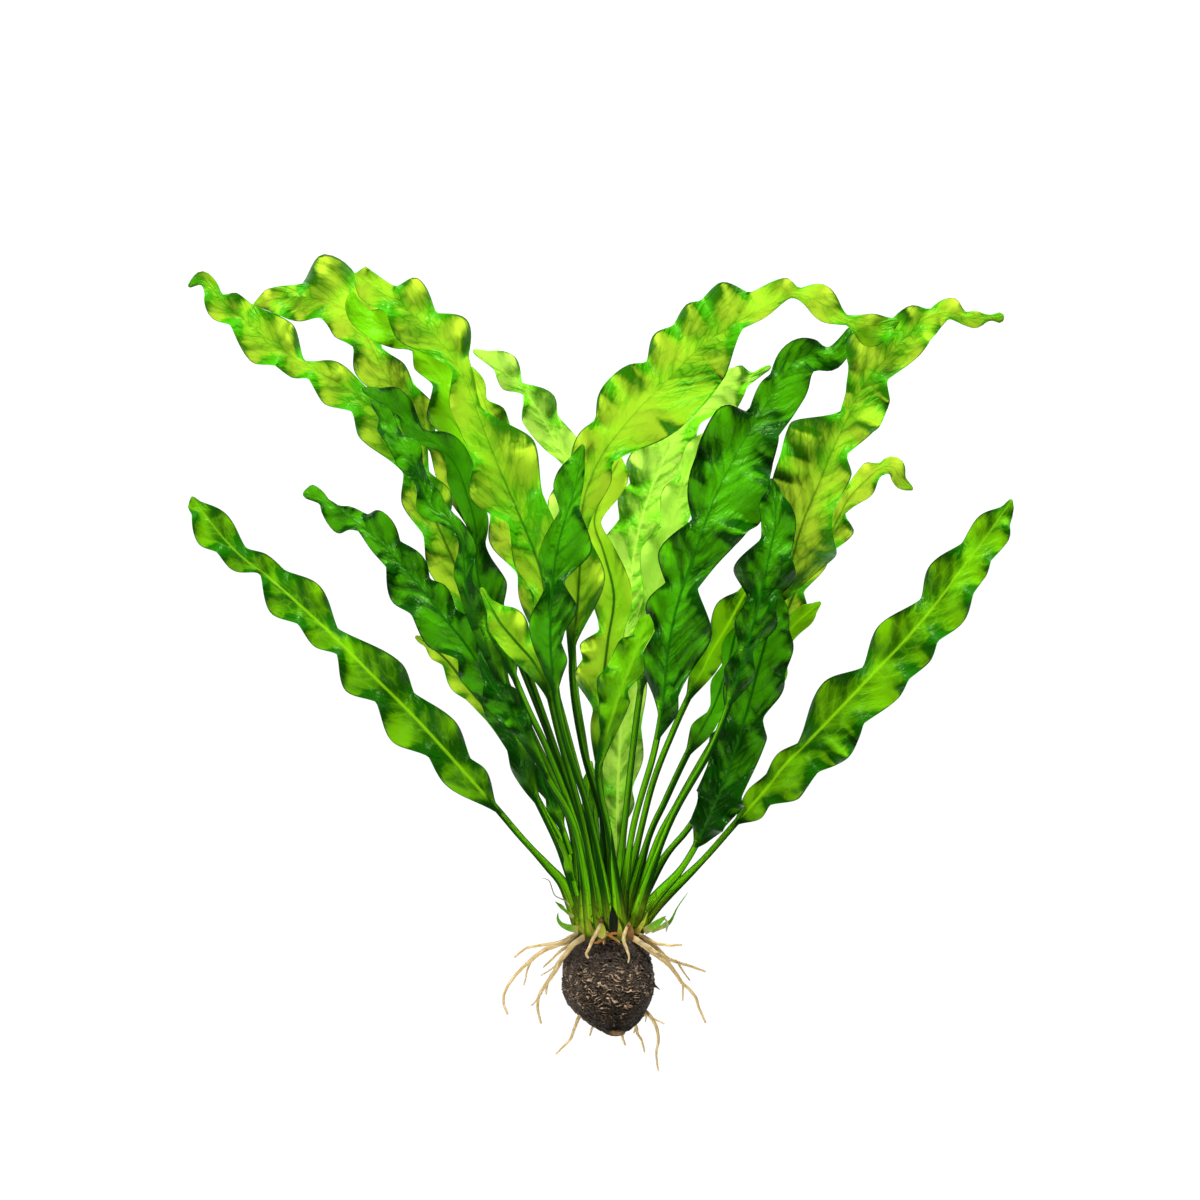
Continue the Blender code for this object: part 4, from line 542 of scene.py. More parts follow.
def leafFinish(name, tone):
    f = Finish(name)
    side, run = f.pair("blade")             # -1 and 1 at the margins, 0 on the rib; way from the crown
    reach, lobe = f.pair("size")            # half-width; 0 at necks, 1 at peaks, on a stalk how brightly it is painted lit
    steep, light = f.pair("form")           # 0 where level, 1 where upright, for painted shade on upright flanks; how pale the leaf is, partly painted light and shade
    away = abs(side * reach)
    blade = reach.ramp(1.9, 4.2)
    spot = f.inMillimetres()
    patches = f.cloud(spot, 0.05, 2.0)
    mottle = f.cloud(spot, 0.35, 3.0)
    wander = f.cloud(f.vector(side * 1.4, run * 0.06), 1.0, 2.0)
    # fine veins run forwards at a slant to the rib and link up into a net of long meshes
    forward = run - away * 1.1 - away * away * 0.03 + wander * 8 + (side > 0) * 2.3
    net = 1 - f.cells(f.vector(forward * 0.23, away * 0.29)).ramp(0.0, 0.12)
    finer = 1 - f.cells(f.vector(forward * 0.6, away * 0.5)).ramp(0.0, 0.1)
    inner = 1 - abs((abs(side) + wander * 0.12 - 0.42) * reach).ramp(0.05, 0.4)
    veins = net.orMore(inner * 0.6).orMore(finer * 0.3) * blade
    pleats = f.cloud(f.vector(forward * 0.17 + (side > 0) * 7, away * 0.035), 1.0, 2.0, 0.4).ramp(0.3, 0.7)
    young = run.ramp(110, 215)              # towards its tip the blade is thinner and its rib paler
    rib = (1 - (away + young * 0.25).ramp(0.3, 0.6)) * (1 - young * 0.7) * blade
    hem = abs(side).ramp(0.94, 0.99) * blade
    outer = abs(side).ramp(0.1, 0.95)
    # stalk: streaked along its length, pale and spotted at its foot, with painted light and shade across it
    streak = f.cloud(f.vector(side * 2.4, run * 0.018, lobe * 40 + light * 9), 2.2, 4.0).ramp(0.35, 0.65)
    inwards = side * (1 - (spot.axis(0) > 1) * 2)      # painted light: a stalk is painted brighter towards the plant's middle
    # painted shade darkens each stalk towards its edges; it is darker further from the crown
    lit = (streak * 0.4 + lobe * 0.7 + inwards * 0.7).ramp(0.1, 0.9) * (1 - abs(side).ramp(0.55, 1.0))
    lit = lit * (1 - run.ramp(20.0, 90.0) * 0.45)
    stem = f.blend(lit, stalkGreen["dark"], stalkGreen["light"])
    foot = (1 - run.ramp(3.0, 22.0)) * (0.25 + mottle) * (1 - abs(side).ramp(0.5, 1.0) * 0.7)
    stem = f.blend(foot * (0.35 + lobe * 0.6), stem, stalkGreen["base"])
    dried = f.cloud(spot.scaled((1, 0.4, 1)), 0.9, 3.0).ramp(0.6, 0.66) * (1 - run.ramp(6.0, 30.0))
    stem = f.blend(dried.orMore(1 - run.ramp(1.2, 3.6)), stem, stalkGreen["dried"])
    # where dim is higher the blade is a deeper green and less light comes through: random patches and
    # mottle, veins, darker low down and along the margin, and painted shade and light on the ruffles and
    # pleats
    dim = (patches.ramp(0.3, 0.7) - 0.5) * 0.3 + (mottle - 0.5) * 0.12
    # painted shade and light: streaks along the pleats are painted darker and paler
    dim = dim + (pleats - 0.5) * 0.18 * tone["pleats"]
    # painted shade on upright flanks (steep) and at the lobes' necks, painted light towards the lobes' peaks
    dim = dim + veins * tone["veins"] * 0.16 + steep.ramp(0.1, 0.8) * 0.55 + (0.5 - lobe) * outer * 0.45
    # hem darkens the margin, base darkens the blade low down, and light is each leaf's paleness, partly
    # painted light and shade
    dim = (dim + hem * 0.35 + (1 - run.ramp(30, 150)) * tone["base"] - light).ramp(-0.12, 0.56)
    colour = f.blend(dim * 1.6, tone["face"], tone["shade"])
    colour = f.blend(rib, colour, tone["rib"])
    colour = f.blend(blade, stem, colour)
    letThrough = tone["least"] + (tone["through"] - tone["least"]) * (1 - dim) ** 1.5
    letThrough = letThrough * (1 - rib) + tone["ribThrough"] * rib
    letThrough = letThrough * blade + stalkGreen["through"] * (1 - blade)
    relief = f.cloud(spot, 0.4, 2.0) * (1.6 * tone["crinkle"]) + pleats * (1.2 * tone["pleats"])
    relief = (relief - veins * 0.2) * blade + streak * (1 - blade) * 0.6
    gloss = tone["gloss"] + mottle * 0.2 + (1 - blade) * 0.4
    skin = f.surface(Base_Color=colour, Roughness=gloss, Specular_IOR_Level=0.13,
                     Specular_Tint=tone["sheen"], Normal=f.bump(relief, 0.5))
    return f.litThrough(letThrough, skin, tone["glow"])


# How every leaf is built; ruffle and fold are shares of the reach from rib to margin
leafBuild = {
    "across": (0, 0.045, 0.1, 0.18, 0.29, 0.42, 0.56, 0.7, 0.83, 0.93, 0.985, 1),
    "perSpan": 8, "bladeStep": 1.2, "stalkStep": 2.5, "lookAhead": 4, "clear": 0.5,
    "stalkHalfWidth": 1.1, "stalkHalfDepth": 1.0, "footHalfWidth": 2.8, "footShare": 0.78, "footSink": 1.2,
    "flare": 34.0, "thinning": 2.5, "ribHalfDepth": 0.42, "ribHalfWidth": 0.95, "ribThins": 0.6,
    "edge": 0.13, "ruffle": 0.34, "lobeRise": 0.6, "turn": 0.475, "turnByLean": 0.46, "fold": 0.12,
    "fullness": 0.12, "cup": 1.5, "lip": 0.1, "lipFrom": 0.7, "crinkle": 0.2,
    "tipHalfWidth": 0.8, "tipRun": 2.2,
    "paintedReach": 4.3, "paintedBy": 0.35,     # narrow tips are painted as a blade this wide
}


def crownSurface(distance):             # how far the tuber's shoulder drops at a distance from its axis
    share = min(distance / tuber["radius"], 1.0) ** (1 / tuber["shoulder"])
    return -tuber["length"] / 2 * (1 - math.sqrt(1 - share * share))


def stalkFoot(x, height):               # a stalk starts just inside the crown
    b = leafBuild
    x *= b["footShare"]
    y = crownSurface(max(math.hypot(x, height - tuber["axisZ"]) - b["footHalfWidth"], 0)) - b["footSink"]
    return x, y, height


def marginKnots(points, line, lengths, tip):
    # where along the rib, and how far from it, the peaks and necks of a margin are
    a, step = line[:-1, :2], np.diff(line[:, :2], axis=0)
    knots, last = [], 0.0
    for spot in np.array(points, float):
        t = np.clip(((spot - a) * step).sum(1) / (step ** 2).sum(1), 0, 1)
        reach = np.linalg.norm(spot - a - step * t[:, None], axis=1)
        reach[lengths[1:] < last] = np.inf
        best = reach.argmin()
        at = max(lengths[best] + t[best] * (lengths[best + 1] - lengths[best]), last)
        knots.append((at, reach[best]))
        last = at + 1.0
    knots[0] = (knots[0][0], leafBuild["stalkHalfWidth"])
    return np.array([*knots, (lengths[-1], tip)])


def marginAt(knots, run, lean):
    # reach, rise, lip and lobe share of a margin: round lobes, whose ruffles turn as the leaf leans
    b = leafBuild
    at, reach = knots.T
    span = np.maximum(np.diff(at), 0.01)
    slope = np.diff(reach) / span
    turning = slope[:-1] * slope[1:] <= 0
    tangent = np.zeros(len(at))
    both = np.where(turning, 1, slope[:-1] + slope[1:])
    tangent[1:-1] = np.where(turning, 0, 2 * slope[:-1] * slope[1:] / both)
    k = np.clip(np.searchsorted(at, run, side="right") - 1, 0, len(at) - 2)
    t = np.clip((run - at[k]) / span[k], 0, 1)
    ease = t * t * (3 - 2 * t)
    step = np.abs(reach[k + 1] - reach[k])
    width = reach[k] * (1 - ease) + reach[k + 1] * ease
    width += span[k] * t * (1 - t) * (tangent[k] * (1 - t) - tangent[k + 1] * t)
    fromNeck = np.where(reach[k + 1] > reach[k], t, 1 - t)
    width += b["fullness"] * step * fromNeck * (1 - fromNeck) ** 2 * 27 / 4
    begun = np.clip((width - b["stalkHalfWidth"]) / b["thinning"], 0, 1)
    wave = math.pi * (k + t + b["turn"] + b["turnByLean"] * lean)
    rise = np.cos(wave) * (b["ruffle"] * width + b["lobeRise"] * step) + b["fold"] * width
    lip = b["lip"] * width * np.sin(wave)
    started = begun * (run >= at[0])
    lobe = np.where(reach[k + 1] > reach[k], ease, 1 - ease) * started
    return width, rise * started, lip * started, lobe


def steepness(sheet):                   # how upright each spot of a sheet of points stands
    normals = np.cross(np.gradient(sheet, axis=0), np.gradient(sheet, axis=1))
    return 1 - np.abs(normals[..., 2]) / np.maximum(np.linalg.norm(normals, axis=2), 1e-9)


def leafRings(rib, leaf):
    b = leafBuild
    rolls = np.zeros((len(rib), 1))
    if "roll" in leaf:
        rolls[-len(leaf["roll"]):, 0] = leaf["roll"]
    line = smoothRun(np.hstack([rib, rolls]), b["perSpan"])
    lengths = runLengths(line)
    total = lengths[-1]
    knots = [marginKnots(leaf[margin], line, lengths, leaf.get("tip", b["tipHalfWidth"]))
             for margin in ("left", "right")]
    start = min(side[0, 0] for side in knots)
    run = np.concatenate([np.arange(0, start, b["stalkStep"]), np.arange(start, total - 0.5, b["bladeStep"]),
                          [total - 0.35, total - 0.1, total]])
    spot = pickAt(line, lengths, run)
    centre, roll = spot[:, :3], np.radians(spot[:, 3])
    along = unit(pickAt(line, lengths, np.minimum(run + b["lookAhead"], total))[:, :3]
                 - pickAt(line, lengths, np.maximum(run - b["lookAhead"], 0))[:, :3])
    level = unit(np.cross(along, (0, 0, 1)))
    up = np.cross(level, along)
    across = level * np.cos(roll)[:, None] + up * np.sin(roll)[:, None]
    face = up * np.cos(roll)[:, None] - level * np.sin(roll)[:, None]
    foot = leaf.get("foot", b["footHalfWidth"])
    flare = b["stalkHalfWidth"] + (foot - b["stalkHalfWidth"]) * np.maximum(0, 1 - run / b["flare"])
    rounding = np.sqrt(np.clip(1 - np.clip((run - total + b["tipRun"]) / b["tipRun"], 0, 1) ** 2, 0.004, 1))
    sides = [marginAt(side, run, lean * along[:, 0]) for side, lean in zip(knots, (1, -1))]
    swing = rounding * leaf.get("ruffle", 1)
    sides = [(np.maximum(width, flare) * rounding, rise * swing, lip * swing, lobe)
             for width, rise, lip, lobe in sides]
    width = (sides[0][0] + sides[1][0]) / 2
    stalk = np.exp(-np.maximum(width - b["stalkHalfWidth"], 0) / b["thinning"])
    ageing = 1 - b["ribThins"] * np.clip((run - start) / (total - start), 0, 1)
    depth = b["ribHalfDepth"] * ageing + (b["stalkHalfDepth"] - b["ribHalfDepth"]) * stalk
    depth = depth * np.minimum(1, width)
    leastReach = b["paintedReach"] * np.clip((run - start) / (b["paintedBy"] * (total - start)), 0, 1)
    top, under, maps, middles = [], [], [], []
    for share in bothSides(b["across"]):
        reach, rise, lip, lobe = sides[0] if share < 0 else sides[1]
        # on a stalk, lobe holds how brightly it is painted lit
        lobe = np.where(run < start, leaf.get("stalk", 0.5), lobe)
        away = abs(share) * reach
        lifted = rise * abs(share) ** b["cup"]
        lifted = lifted + lip * max(abs(share) - b["lipFrom"], 0) ** 2 / (1 - b["lipFrom"]) ** 2
        room = np.maximum(centre[:, 2] - b["clear"], 0.3)      # dips flatten out before they reach the floor
        lifted = np.where(lifted < 0, -room * np.tanh(-lifted / room), lifted)
        sweep = centre + across * (math.copysign(1, share) * away / np.cos(roll))[:, None]
        sweep = sweep + face * lifted[:, None]
        wrinkle = np.array([noise.noise(Vector(p) / 5.5) + 0.5 * noise.noise(Vector(p) / 2.6)
                            for p in sweep])
        wrinkle *= b["crinkle"] * (1 - stalk) * min(1, abs(share) * 2.5)
        oval = np.sqrt(np.clip(1 - (away / np.maximum(reach, 0.01)) ** 2, 0, 1))
        ridge = np.exp(-(away / b["ribHalfWidth"]) ** 2)
        swell = oval * stalk + ridge * (1 - stalk)
        skin = b["edge"] * math.sqrt(1 - abs(share) ** 8) * (1 - stalk)
        above = skin + depth * swell * (0.45 + 0.55 * stalk)
        below = skin + depth * swell
        middles.append(sweep + face * wrinkle[:, None])
        high = sweep + face * (wrinkle + above)[:, None]
        low = sweep + face * (wrinkle - below)[:, None]
        low[:, 2] = np.maximum(low[:, 2], 0.08)
        high[:, 2] = np.maximum(high[:, 2], low[:, 2] + 0.05 * (abs(share) < 1))
        top.append(high)
        under.append(low)
        painted = np.maximum(reach, leastReach)
        maps.append(np.stack([np.full_like(run, share), run + leaf.get("begin", 0), painted, lobe], axis=1))
    # how upright each spot stands, for the painted shade on upright flanks
    steep = steepness(np.stack(middles, axis=1))
    # each leaf's paleness, partly its own colour and partly painted light and shade
    light = np.full_like(run, leaf.get("light", 0))
    maps = [np.column_stack([values, steep[:, i], light]) for i, values in enumerate(maps)]
    values = wrapRound(maps, maps)
    maps = {"blade": values[..., :2], "size": values[..., 2:4], "form": values[..., 4:]}
    return wrapRound(top, under), maps


def makeLeaves():
    finishes = {tone: leafFinish(tone + "_leaf", values) for tone, values in tones.items()}
    for height, spacing, names in crownRows:
        for index, name in enumerate(names):
            leaf = leaves[name]
            x = (index - (len(names) - 1) / 2) * spacing
            mesh = loft(name + "_leaf", *leafRings((stalkFoot(x, height), *leaf["rib"]), leaf))
            finish = finishes[leaf.get("finish", leaf["tone"])]
            place(name + "_leaf", mesh, finish, "leaf_" + leaf["tone"], "leaf_" + name)
    for name, leaf in scraps.items():
        mesh = loft(name, *leafRings(leaf["rib"], leaf))
        place(name, mesh, finishes[leaf["tone"]], "leaf_" + leaf["tone"])
    print("leaves:", len(leaves), "and", len(scraps), "scraps")


# tuber: an acorn with a blunt shoulder and a rough wrinkled skin, flat where it rests

tuber = {
    "radius": 15.4, "length": 34.9, "axisZ": 15.05, "shoulder": 0.4, "taper": 1.5, "lean": 2.6,
    "tipRound": 3.6, "tipWidth": 3.6, "lump": 0.45, "lumpsRound": 5, "lumpsDown": 4,
    "around": 380, "rings": 280, "wrinkle": 0.66, "wrinkleRate": 2.6, "meridians": 46, "grain": 0.22,
    # marks on the side that faces up: x, y from the crown, half-width, half-height, rise, darker or paler;
    # darker ones are dents painted near black as shade
    "marks": (
        (0.9, -9.0, 0.8, 0.6, -0.9, -1), (-9.3, -12.2, 0.8, 0.5, -0.6, -1),
        (-9.6, -14.2, 0.6, 0.4, -0.5, -1), (6.7, -24.0, 0.45, 0.9, 0.4, 1),
        (0.6, -21.6, 1.0, 0.3, 0.3, 0.7), (-0.2, -23.2, 1.2, 0.25, 0.3, 0.5),
        (3.4, -31.9, 2.8, 0.7, -1.2, -1), (3.2, -33.6, 2.5, 0.9, 0.7, 1),
        (4.4, -28.4, 0.5, 0.5, 0.3, 0.5), (-1.0, -17.6, 1.3, 0.5, 0.3, 0.4),
        (4.8, -12.6, 1.0, 0.4, 0.3, 0.5), (3.6, -15.0, 1.2, 0.4, 0.3, 0.4)),
    # dark is painted shade in the grooves; crest is the paler skin on the ridges with a painted highlight
    "dark": (0.006, 0.004, 0.0025), "brown": (0.042, 0.027, 0.017), "crest": (0.60, 0.43, 0.29),
    "greyTop": (0.17, 0.135, 0.115), "scar": (0.30, 0.17, 0.055), "pitShade": (0.006, 0.004, 0.003),
}


def tuberRings():
    t = tuber
    polar = np.linspace(0, math.pi, t["rings"] + 1)[1:-1]
    polar = np.concatenate([[0.004], polar, [math.pi - 0.004]])
    turn = np.arange(t["around"]) / t["around"] * 2 * math.pi
    polar, turn = np.meshgrid(polar, turn, indexing="ij")
    upper = polar < math.pi / 2
    radius = t["radius"] * np.sin(polar) ** np.where(upper, t["shoulder"], t["taper"])
    lump = (t["lump"] * np.sin(t["lumpsRound"] * turn + 2 * polar)
            * np.sin(t["lumpsDown"] * polar + 1) * np.sin(polar))
    radius = radius + np.where(polar > math.pi / 4, lump, np.minimum(lump, 0))
    y = -t["length"] / 2 * (1 - np.cos(polar))
    blunt = np.minimum(np.sqrt(2 * t["tipRound"] * np.maximum(t["length"] + y, 0)), t["tipWidth"])
    radius = np.where(upper, radius, np.maximum(radius, blunt))
    lean = t["lean"] * np.maximum(0, (-y - t["length"] / 2) / (t["length"] / 2)) ** 2
    rings = np.stack([radius * np.cos(turn) + lean, y, t["axisZ"] + radius * np.sin(turn)], axis=2)
    along = np.gradient(rings, axis=0)
    around = np.gradient(np.concatenate([rings[:, -1:], rings, rings[:, :1]], axis=1), axis=1)[:, 1:-1]
    outward = unit(np.cross(around.reshape(-1, 3), along.reshape(-1, 3)))
    flat = rings.reshape(-1, 3)
    middle = np.array([0, -t["length"] / 2, t["axisZ"]])
    outward *= np.sign(((flat - middle) * outward).sum(1, keepdims=True))
    height, mark = np.zeros(len(flat)), np.zeros(len(flat))
    # low down at the sides the wrinkles run from shoulder to tip, elsewhere they run round
    low = np.clip((polar.reshape(-1) - 1.7) / 0.5, 0, 1)
    low = low * np.clip(np.abs(np.cos(turn.reshape(-1))) * 2 - 0.7, 0, 1)
    for i, p in enumerate(flat):
        v = Vector(p)
        q = v + noise.noise_vector(v / 3.4) * 2.6 + noise.noise_vector(v / 1.5) * 0.9
        across = 1 - abs(math.sin(q.y * t["wrinkleRate"] + q.x * 0.4))
        down = 1 - abs(math.sin(turn.flat[i] * t["meridians"] / 2 + (q.x - v.x) * 1.2))
        folds = (across * (1 - low[i]) + down * low[i] * 0.7) ** 1.6
        broken = min(1, max(0, noise.noise(v / 2.2 + Vector((3, 9, 4))) * 1.6 + 0.55))
        height[i] = t["wrinkle"] * (folds * broken - 0.3) + t["grain"] * noise.fractal(v / 0.8, 0.8, 2.1, 3)
    for x, y, wide, tall, rise, tint in t["marks"]:
        near = np.exp(-((flat[:, 0] - x) / wide) ** 2 - ((flat[:, 1] - y) / tall) ** 2)
        near = near * (flat[:, 2] > t["axisZ"])
        height += rise * near
        mark += tint * near
    fade = np.clip(radius.reshape(-1) / 3.0, 0, 1)
    flat = flat + outward * (height * fade)[:, None]
    flat[:, 2] = np.maximum(flat[:, 2], 0.02)
    rings = flat.reshape(rings.shape)
    relief = np.clip(0.4 + height, 0, 1).reshape(polar.shape)
    maps = {"skin": np.stack([turn / (2 * math.pi), polar / math.pi], axis=2),
            "relief": np.stack([relief, np.clip(0.5 + mark / 2, 0, 1).reshape(polar.shape)], axis=2)}
    return rings, maps


def tuberFinish():
    f = Finish("tuber_skin")
    spot = f.inMillimetres()
    relief, mark = f.pair("relief")
    down = f.pair("skin")[1]                # 0 at the crown, 1 at the tip
    broad = f.cloud(spot, 0.14, 2.0)
    grain = f.cloud(spot, 1.6, 5.0, 0.65, 0.4)
    middle = down.ramp(0.3, 0.45) * (1 - down.ramp(0.56, 0.78))     # wrinkles are palest round the middle
    # painted shade: the skin is near black low in the grooves and brown higher up
    colour = f.blend(relief.ramp(0.15, 0.55) * grain.ramp(0.3, 0.65), tuber["dark"], tuber["brown"])
    # crests are paler ridge skin with a painted highlight, brightest round the middle and fading towards the
    # sides
    crest = relief.ramp(0.34, 0.64) * grain.ramp(0.3, 0.54)
    crest = crest * (middle * 0.85 + 0.2 + broad.ramp(0.45, 0.7) * 0.4)
    crest = crest * (1 - abs(spot.axis(0) + 1.5).ramp(6.0, 15.0) * 0.55)
    # worm: pale wandering lines, part of the painted highlight on the crests
    worm = f.cloud(spot.scaled((0.75, 1.5, 1)), 0.95, 3.0, 0.5, 1.0) - 0.5
    worm = (1 - abs(worm).ramp(0.01, 0.06)) * grain.ramp(0.34, 0.5)
    colour = f.blend(crest.orMore(worm * (middle * 0.25 + 0.05)), colour, tuber["crest"])
    # greyer, grainy skin towards the crown
    greyTop = (1 - down.ramp(0.22, 0.5)) * grain.ramp(0.4, 0.62)
    colour = f.blend(greyTop * 0.6, colour, tuber["greyTop"])
    colour = f.blend(mark.ramp(0.55, 0.9), colour, tuber["scar"])
    # painted shade: the darker marks' dents are painted near black
    colour = f.blend(1 - mark.ramp(0.1, 0.42), colour, tuber["pitShade"])
    height = grain + worm * 0.4 + relief * 0.8 + f.cloud(spot, 4.0, 3.0) * 0.6
    skin = f.surface(Base_Color=colour, Roughness=0.28 + grain * 0.3, Specular_IOR_Level=0.22,
                     Specular_Tint=(1.0, 0.85, 0.65), Normal=f.bump(height, 0.8))
    return f.done(skin)


def makeTuber():
    rings, maps = tuberRings()
    place("tuber_body", loft("tuber_body", rings, maps), tuberFinish(), "tuber", "tuber")
    print("tuber: wrinkled skin")


# roots, named after their nodes: points outwards (x, y from the crown, z), radius from start to end, and on
# some a fork; a free one doesn't start inside the plant

roots = {
    "left_short": dict(
        points=((-12.4, -1.4, 18), (-16, -3.2, 19), (-21, -4, 18.5), (-27, -5.2, 16), (-31.5, -8.5, 13)),
        radius=(1.0, 0.4)),
    "left_long": dict(
        points=((-13.2, -3.2, 12), (-18, -4.6, 10), (-22, -6.6, 8), (-26, -9.8, 6), (-31, -14.5, 4),
                (-34.3, -19.5, 2.6), (-35.2, -24, 1.8), (-33.8, -28.2, 1.2)),
        radius=(1.2, 0.45),
        branch=((-25.6, -9.4, 6.1), (-27.2, -13, 5.2), (-28.2, -18.3, 4))),
    "left_shoulder": dict(
        points=((-11, -3.2, 24.6), (-14.6, -7.4, 22), (-17.6, -12.5, 18), (-20.4, -17, 13),
                (-22.7, -20.5, 9), (-23.8, -25, 5), (-22.5, -31.3, 2)),
        radius=(1.3, 0.45),
        branch=((-22.3, -20.4, 9.3), (-24.5, -23.6, 8), (-26, -25, 7.4))),
    "left_fine": dict(
        points=((-14.6, -5.2, 16), (-17.4, -7.6, 15.6), (-19.4, -9.6, 15), (-21.8, -11.8, 14.6)),
        radius=(0.8, 0.35)),
    "left_inner": dict(
        points=((-16.2, -9.6, 12), (-18, -13, 9.6), (-20.2, -16.6, 7), (-20.8, -21.3, 5)),
        radius=(0.8, 0.4)),
    "right_short": dict(
        points=((13.2, -2, 19), (16.5, -3.6, 20), (21, -4.2, 19), (25, -4.1, 17.6)),
        radius=(0.9, 0.4)),
    "right_middle": dict(
        points=((13.6, -3.2, 11), (16.6, -5.6, 9.4), (19.6, -8.6, 8), (23.5, -10.4, 6.6), (28, -11.8, 5),
                (33, -13.7, 3.6)),
        radius=(1.2, 0.4)),
    "right_long": dict(
        points=((11.4, -3.4, 24.6), (14.8, -6, 22.4), (18, -8, 19), (20.6, -10.8, 15.5), (22.8, -14, 12),
                (25.4, -17.6, 9), (29, -21.2, 6), (30.6, -25.4, 3.6), (33, -31, 1.6)),
        radius=(1.3, 0.45),
        branch=((25.2, -17.2, 9.2), (25.3, -20.4, 8.4), (25.2, -23.5, 7.8))),
    "front_left": dict(
        free=True,
        points=((-2.4, 5.6, 31.8), (-2.5, 3.6, 31.9), (-3.4, 1.2, 31.8), (-5, -1.7, 31.1),
                (-6.2, -4.5, 30.5), (-7.2, -6.9, 29.8), (-6.3, -8.2, 29.8)),
        radius=(0.3, 0.5, 0.9, 0.85, 0.7, 0.6, 0.4)),
    "front_right": dict(
        free=True,
        points=((7.0, 3.6, 31.6), (6.3, 2.2, 31.8), (5.3, -0.7, 31.6), (5.5, -2.8, 31.1), (6.4, -5.5, 30.3),
                (7.1, -7.9, 29.8), (6.6, -9.8, 29.4)),
        radius=(0.4, 0.6, 0.8, 0.75, 0.6, 0.45, 0.25)),
    "tip_left": dict(
        points=((-9.6, -28.2, 19), (-11.2, -32, 16.5), (-12.4, -35.5, 13.4), (-15.2, -38.8, 10.8),
                (-17.5, -41.2, 9)),
        radius=(0.9, 0.35)),
    "tip_stub": dict(
        points=((-5.4, -32.2, 16), (-5.7, -33.4, 15.2), (-6.2, -34.9, 14.4)),
        radius=(0.6, 0.35)),
    "tip_middle": dict(
        points=((4.8, -34.6, 15), (5.2, -36.2, 14), (6, -38.2, 12.8)),
        radius=(0.7, 0.35)),
    "tip_right": dict(
        points=((9.4, -31.6, 14), (10, -34, 12), (11.4, -37, 9.6), (12.3, -40.7, 7.4)),
        radius=(0.8, 0.35)),
    "tip_long": dict(
        points=((13, -27, 13), (14.9, -29.2, 11), (16.4, -32.4, 8.4), (17, -36.5, 6), (16.3, -41, 4),
                (16.5, -44, 2.8), (17.1, -47.3, 2)),
        radius=(1.0, 0.35),
        branch=((14.8, -28.9, 11.2), (17, -30, 10.4), (19, -31, 10))),
}

# fine roots that stay thin: x, y from the crown, z
rootlets = (
    ((-11.5, -5, 16), (-15, -8, 15.5), (-18.5, -12, 14.5), (-22.5, -14.5, 13.5)),
    ((11, -4, 16), (14, -6.5, 15.5), (18, -9.5, 14.5), (22, -13, 13)),
    ((22.6, -9.6, 7), (23.5, -10.5, 6.6), (25.5, -13.5, 5.5), (27.7, -16.7, 5)),
    ((-0.6, 0.8, 29.6), (1, -0.5, 30.6), (4, -3, 30.8)),
    ((-0.4, 0.6, 29.4), (-1, -1, 30.5), (-4.5, -3, 30.6)),
    ((-1.8, -0.6, 30.3), (-1.5, -2, 30.6), (-1.3, -3.5, 30.6)),
    ((9, -30.4, 15), (9.3, -32, 13.8), (8.7, -34, 12.6)),
    ((11.6, -26, 16), (12.7, -28, 15), (12.5, -30.2, 14)),
)

rootBuild = {"perSpan": 8, "around": 14, "step": 0.5, "knobs": 0.12, "wander": 0.18, "plump": 0.85,
             "branchTip": 0.24, "fineAround": 10, "fineStep": 0.4, "fine": (0.4, 0.35, 0.22),
             "cream": (0.52, 0.37, 0.12), "light": (0.86, 0.74, 0.44), "brown": (0.20, 0.11, 0.03),
             "glow": (1.0, 0.84, 0.50), "through": 0.35}


def rootFinish():
    f = Finish("root_skin")
    spot = f.inMillimetres()
    around, run = f.pair("skin")            # run is 0 where the root leaves the plant, 1 at its tip
    streak = f.cloud(f.vector(around * 3, run * 4), 2.0, 4.0)
    blotch = f.cloud(spot, 0.5, 3.0)
    colour = f.blend(streak.ramp(0.35, 0.7), rootBuild["cream"], rootBuild["light"])
    stain = blotch.ramp(0.5, 0.72) * 0.6 + (1 - run.ramp(0.0, 0.22)) * 0.25
    stain = stain * (1 - run.ramp(0.35, 0.8) * 0.8)
    colour = f.blend(stain, colour, rootBuild["brown"])
    skin = f.surface(Base_Color=colour, Roughness=0.42 + blotch * 0.25, Specular_IOR_Level=0.5,
                     Normal=f.bump(streak + f.cloud(spot, 2.5, 3.0) * 0.6, 0.3))
    return f.litThrough(rootBuild["through"], skin, rootBuild["glow"])


